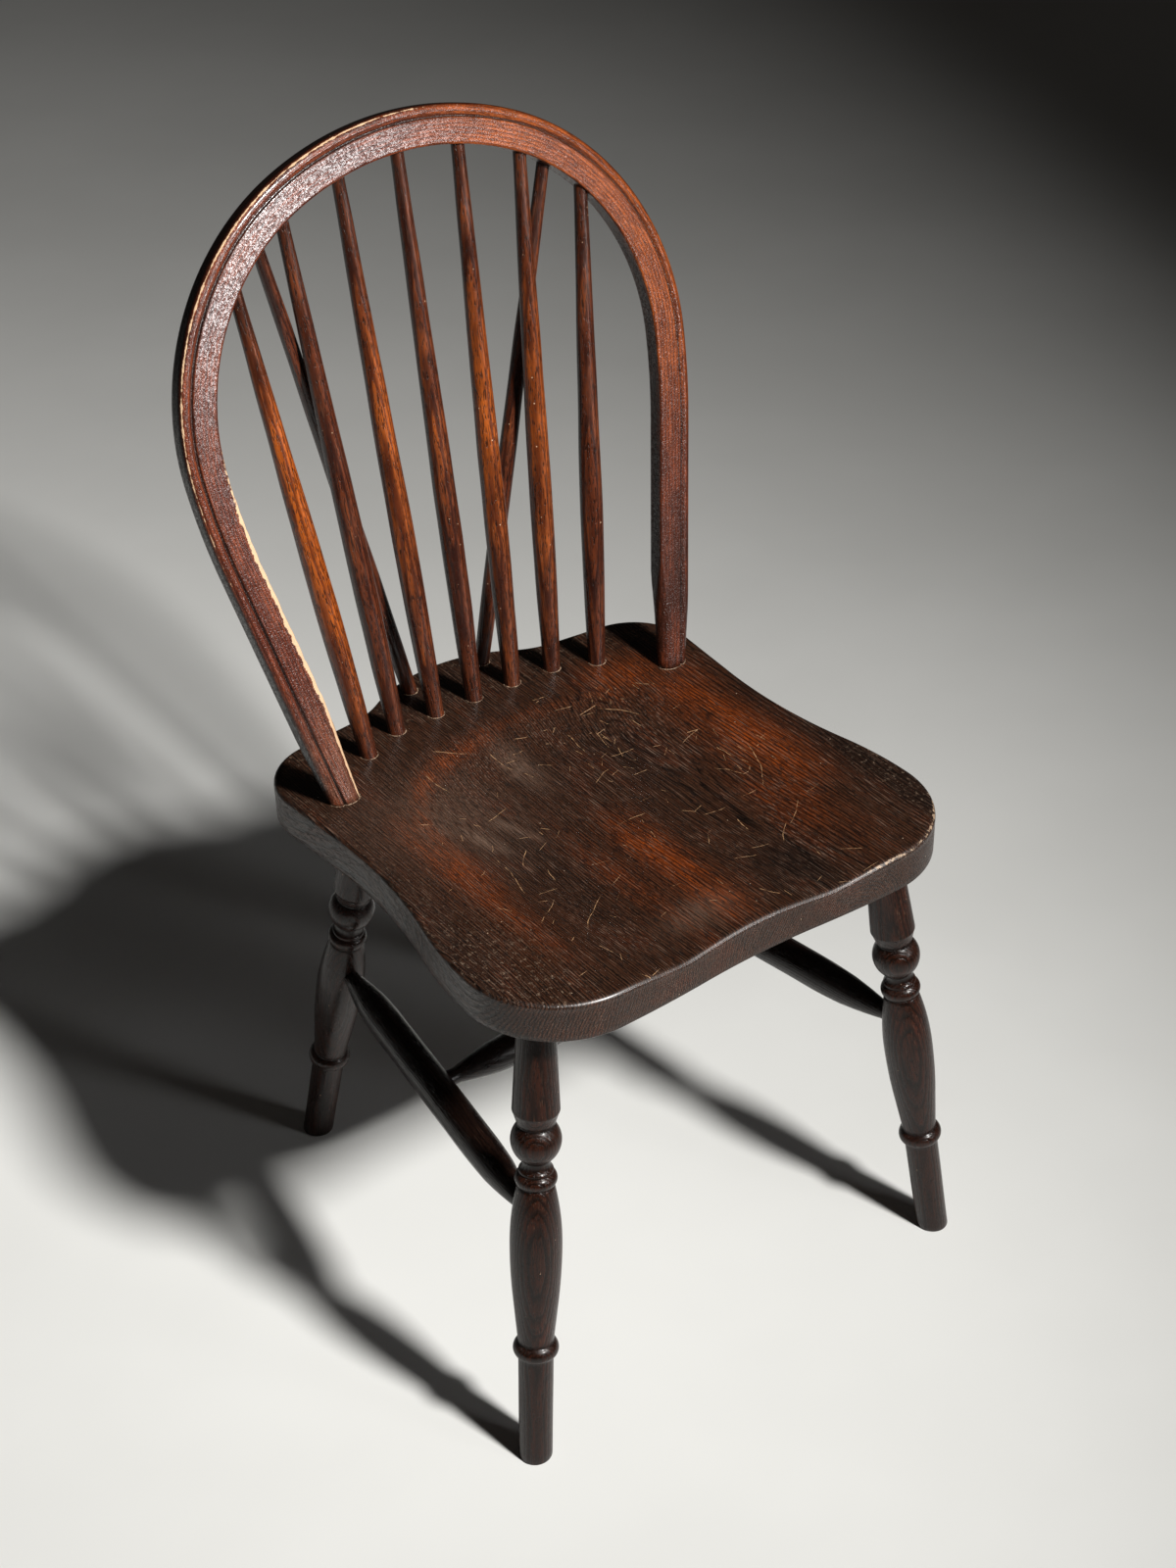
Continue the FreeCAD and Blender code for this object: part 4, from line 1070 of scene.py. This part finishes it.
# Foot (x, y) on the seat and place of the tip across the hoop, from the left stick to the right.
STICK_FEET = (
    ((-113.1, 128.0), -154.5), ((-77.0, 142.6), -105.3), ((-38.0, 144.8), -52.9),
    ((0.0, 145.0), 0.0),
    ((38.0, 144.8), 52.9), ((77.0, 142.6), 105.3), ((113.1, 128.0), 154.5),
)
STICK_WARMTH = (1.0, 0.05, 0.5, 0.15, 0.55, 0.5, 0.1)
BRACE_FOOT, BRACE_TIP_ACROSS = (36.0, 186.5), 127.1
REAR_RAIL_HEIGHT, FRONT_RAIL_HEIGHT = 215.5, 221.5


def dress(piece, material):
    """Give a piece one finish in place of what it had."""
    piece.data.materials.clear()
    piece.data.materials.append(material)


def build_sticks_and_braces(finish):
    """Seven sticks up to the hoop's inner edge, then two braces in a V behind them."""
    for seed, ((x, y), across) in enumerate(STICK_FEET, 1):
        foot, tip = Vector((x, y, SEAT_TOP)), Vector(on_hoop(across, inner_edge(across)))
        profile = stick_profile((tip - foot).length, 7.0, 9.25, 5.2)
        stick = turn_piece("back_stick_%d" % seed, "stick_%d" % seed, foot, tip,
                           profile, around=32, seed=seed, uneven=0.35,
                           warmth=STICK_WARMTH[seed - 1])
        dress(stick, finish)
    for seed, (side, hand) in enumerate((("left", -1), ("right", 1)), 8):
        foot = Vector((BRACE_FOOT[0] * hand, BRACE_FOOT[1], SEAT_TOP))
        tip = Vector(on_hoop(BRACE_TIP_ACROSS * hand, inner_edge(BRACE_TIP_ACROSS), -4.5))
        profile = stick_profile((tip - foot).length, 6.3, 7.3, 5.0)
        brace = turn_piece("rear_brace_" + side, "brace_" + side, foot, tip,
                           profile, around=32, seed=seed, uneven=0.3)
        dress(brace, finish)


def build_legs(finish):
    """Four legs, cut level with the floor and with the underside of the seat."""
    for seed, (name, (foot, head)) in enumerate(LEG_LINES.items(), 11):
        profile = leg_profile((Vector(head) - Vector(foot)).length)
        shoulder = len(profile) - 3
        level = [(ring, height) for ring, (_, height) in enumerate(LEG_FOOT)]
        level += [(ring, UNDER_SEAT - HAIR) for ring in (shoulder, shoulder + 1)]
        leg = turn_piece("turned_" + name, name, foot, head, profile,
                         around=56, seed=seed, uneven=0.12, level=level)
        dress(leg, finish)


def build_rails(finish):
    """Two side rails from rear leg to front leg, and the cross rail between them."""
    cross_ends = []
    for seed, side in enumerate(("left", "right"), 16):
        rear = leg_point("leg_rear_" + side, REAR_RAIL_HEIGHT)
        front = leg_point("leg_front_" + side, FRONT_RAIL_HEIGHT)
        profile = rail_profile((front - rear).length, -4.0)
        rail = turn_piece("side_rail_" + side, "side_stretcher_" + side,
                          rear, front, profile, around=40, seed=seed, uneven=0.3)
        dress(rail, finish)
        cross_ends.append(rear + (front - rear) * 0.505)
    left, right = cross_ends
    profile = rail_profile((right - left).length, -2.5)
    rail = turn_piece("cross_rail", "cross_stretcher", left, right, profile,
                      around=40, seed=18, uneven=0.3)
    dress(rail, finish)


def oval(x, y, half_width, half_depth, count=40):
    """Points on the seat round a stick's foot."""
    return np.array([(x + half_width * cos(turn), y + half_depth * sin(turn), SEAT_TOP)
                     for turn in np.arange(count) * tau / count])


def bead_of_polish(loop, outward, seed, sides=6):
    """Thin uneven bead laid round a foot: a small ring of points for each point of the loop."""
    rings = []
    turns = np.arange(sides) * tau / sides
    for place, away in zip(loop, outward):
        uneven = noise.noise(Vector(place / 3.1) + Vector((seed, 0, 0)))
        size = 0.16 + 0.62 * max(0.0, 0.35 + uneven)
        rings.append(place + away * 0.15 + np.outer(np.cos(turns), away) * size
                     + np.outer(np.sin(turns), (0, 0, 1)) * size * 0.8)
    return rings


def build_polish(hoop_feet):
    """Old polish gathered round every foot that stands in the seat."""
    loops = [oval(x, y, 7.3, 7.2) for (x, y), _ in STICK_FEET]
    loops += [oval(BRACE_FOOT[0] * hand, BRACE_FOOT[1], 6.6, 6.5) for hand in (-1, 1)]
    points, faces = [], []
    for seed, loop in enumerate(loops + [foot.copy() for foot in hoop_feet]):
        loop[:, 2] = top_at(loop) + 0.1
        away = loop - loop.mean(0)
        away[:, 2] = 0.0
        away /= np.linalg.norm(away, axis=1)[:, None]
        rings = bead_of_polish(loop, away, seed)
        sides = len(rings[0])
        start = sum(len(ring) for ring in points)
        for k in range(len(rings)):
            low, high = start + k * sides, start + (k + 1) % len(rings) * sides
            for j in range(sides):
                following = (j + 1) % sides
                faces.append((low + j, low + following, high + following, high + j))
        points += rings
    return new_piece("polish_round_feet", np.concatenate(points), faces)


dress(build_seat(), seat_finish())
hoop, feet_of_hoop = build_hoop()
dress(hoop, hoop_finish())
build_sticks_and_braces(turned_finish(
    "reddish sticks", ((38, 15, 9), (80, 37, 19), (84, 34, 8), (152, 74, 19)),
    specular=0.5, ring_gap=0.0024, warm_share=0.9, speck_share=0.30))
build_legs(turned_finish(
    "dark turned legs", ((17, 8, 5), (46, 22, 13), (42, 15, 7), (90, 38, 20)),
    specular=0.25, ring_gap=0.0021, warm_share=0.8, speck_share=0.14))
build_rails(turned_finish(
    "dark stretchers", ((12, 6, 5), (28, 15, 10), (26, 11, 6), (52, 24, 15)),
    specular=0.3, ring_gap=0.0021, warm_share=0.6, speck_share=0.10))
polish = build_polish(feet_of_hoop)
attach(polish, "root")
dress(polish, polish_finish())
end_grain = wedge_finish()
for side in ("left", "right"):
    dress(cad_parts["hoop_wedge_" + side], end_grain)


# Floor, lamps, world and camera

CAMERA_PLACE = (-0.96460, -1.35947, 1.59830)
CAMERA_TURN, CAMERA_DROP, CAMERA_ROLL = radians(35.62), radians(34.95), radians(-1.32)
CAMERA_LENS, CAMERA_SENSOR = 59.385, 36.0
LIGHT_FROM_WORLD, WORLD_SEEN = 0.013, 0.20


def lay_floor():
    """A wide plain floor, painted a slightly cloudy pale grey."""
    bpy.ops.mesh.primitive_plane_add(size=14.0, location=(1.5, 2.5, 0.0))
    floor = bpy.context.object
    floor.name = "studio_floor"
    paint, tree, skin = finish_material(
        "pale studio floor", coat=0.0, coat_roughness=0.03, specular=0.2)
    skin.inputs["Roughness"].default_value = 0.6
    spot = put(tree, "TexCoord").outputs["Object"]
    clouds = fade(tree, cloud(tree, spot, 1.6, 4.0), 0.3, 0.7)
    tone = mix(tree, clouds, (0.78, 0.78, 0.76, 1), (0.84, 0.84, 0.82, 1))
    tree.links.new(tone, skin.inputs["Base Color"])
    floor.data.materials.append(paint)


def lamp(name, place, heading, size, spread, power, colour=(1.0, 1.0, 1.0)):
    """A round lamp whose beam is narrowed to the spread, in degrees."""
    light = bpy.data.lights.new(name, "AREA")
    light.shape = "DISK"
    light.size = size
    light.spread = radians(spread)
    light.energy = power
    light.color = colour
    holder = bpy.data.objects.new(name, light)
    bpy.context.scene.collection.objects.link(holder)
    holder.location = place
    holder.rotation_mode = "QUATERNION"
    holder.rotation_quaternion = Vector(heading).to_track_quat("-Z", "Y")


def surround():
    """Very weak warm light from all round, and a grey backdrop for the camera."""
    world = bpy.data.worlds.new("studio")
    world.use_nodes = True
    tree = world.node_tree
    glow = tree.nodes["Background"].inputs
    glow["Color"].default_value = (1.0, 0.93, 0.86, 1)
    seen = put(tree, "LightPath").outputs["Is Camera Ray"]
    tree.links.new(fade(tree, seen, 0.0, 1.0, LIGHT_FROM_WORLD, WORLD_SEEN), glow["Strength"])
    bpy.context.scene.world = world


def set_camera():
    ahead = Vector((sin(CAMERA_TURN) * cos(CAMERA_DROP), cos(CAMERA_TURN) * cos(CAMERA_DROP),
                    -sin(CAMERA_DROP)))
    level = ahead.cross(Vector((0, 0, 1))).normalized()
    over_head = level.cross(ahead)
    right = level * cos(CAMERA_ROLL) + over_head * sin(CAMERA_ROLL)
    above = over_head * cos(CAMERA_ROLL) - level * sin(CAMERA_ROLL)
    camera = bpy.data.objects.new("camera", bpy.data.cameras.new("camera"))
    bpy.context.scene.collection.objects.link(camera)
    camera.matrix_world = Matrix.Translation(CAMERA_PLACE) @ Matrix(
        (right, above, -ahead)).transposed().to_4x4()
    camera.data.sensor_width = CAMERA_SENSOR
    camera.data.lens = CAMERA_LENS
    bpy.context.scene.camera = camera


lay_floor()
lamp("key lamp", place=(0.408, -1.968, 2.25), heading=(-0.285, 0.805, -0.521),
     size=0.36, spread=78.6, power=34.0, colour=(1.0, 0.99, 0.965))
lamp("low side lamp", place=(1.22, -2.49, 1.10), heading=(-0.44, 0.893, -0.09),
     size=0.58, spread=45.0, power=1.4)
surround()
set_camera()
bpy.context.scene.view_settings.view_transform = "Standard"
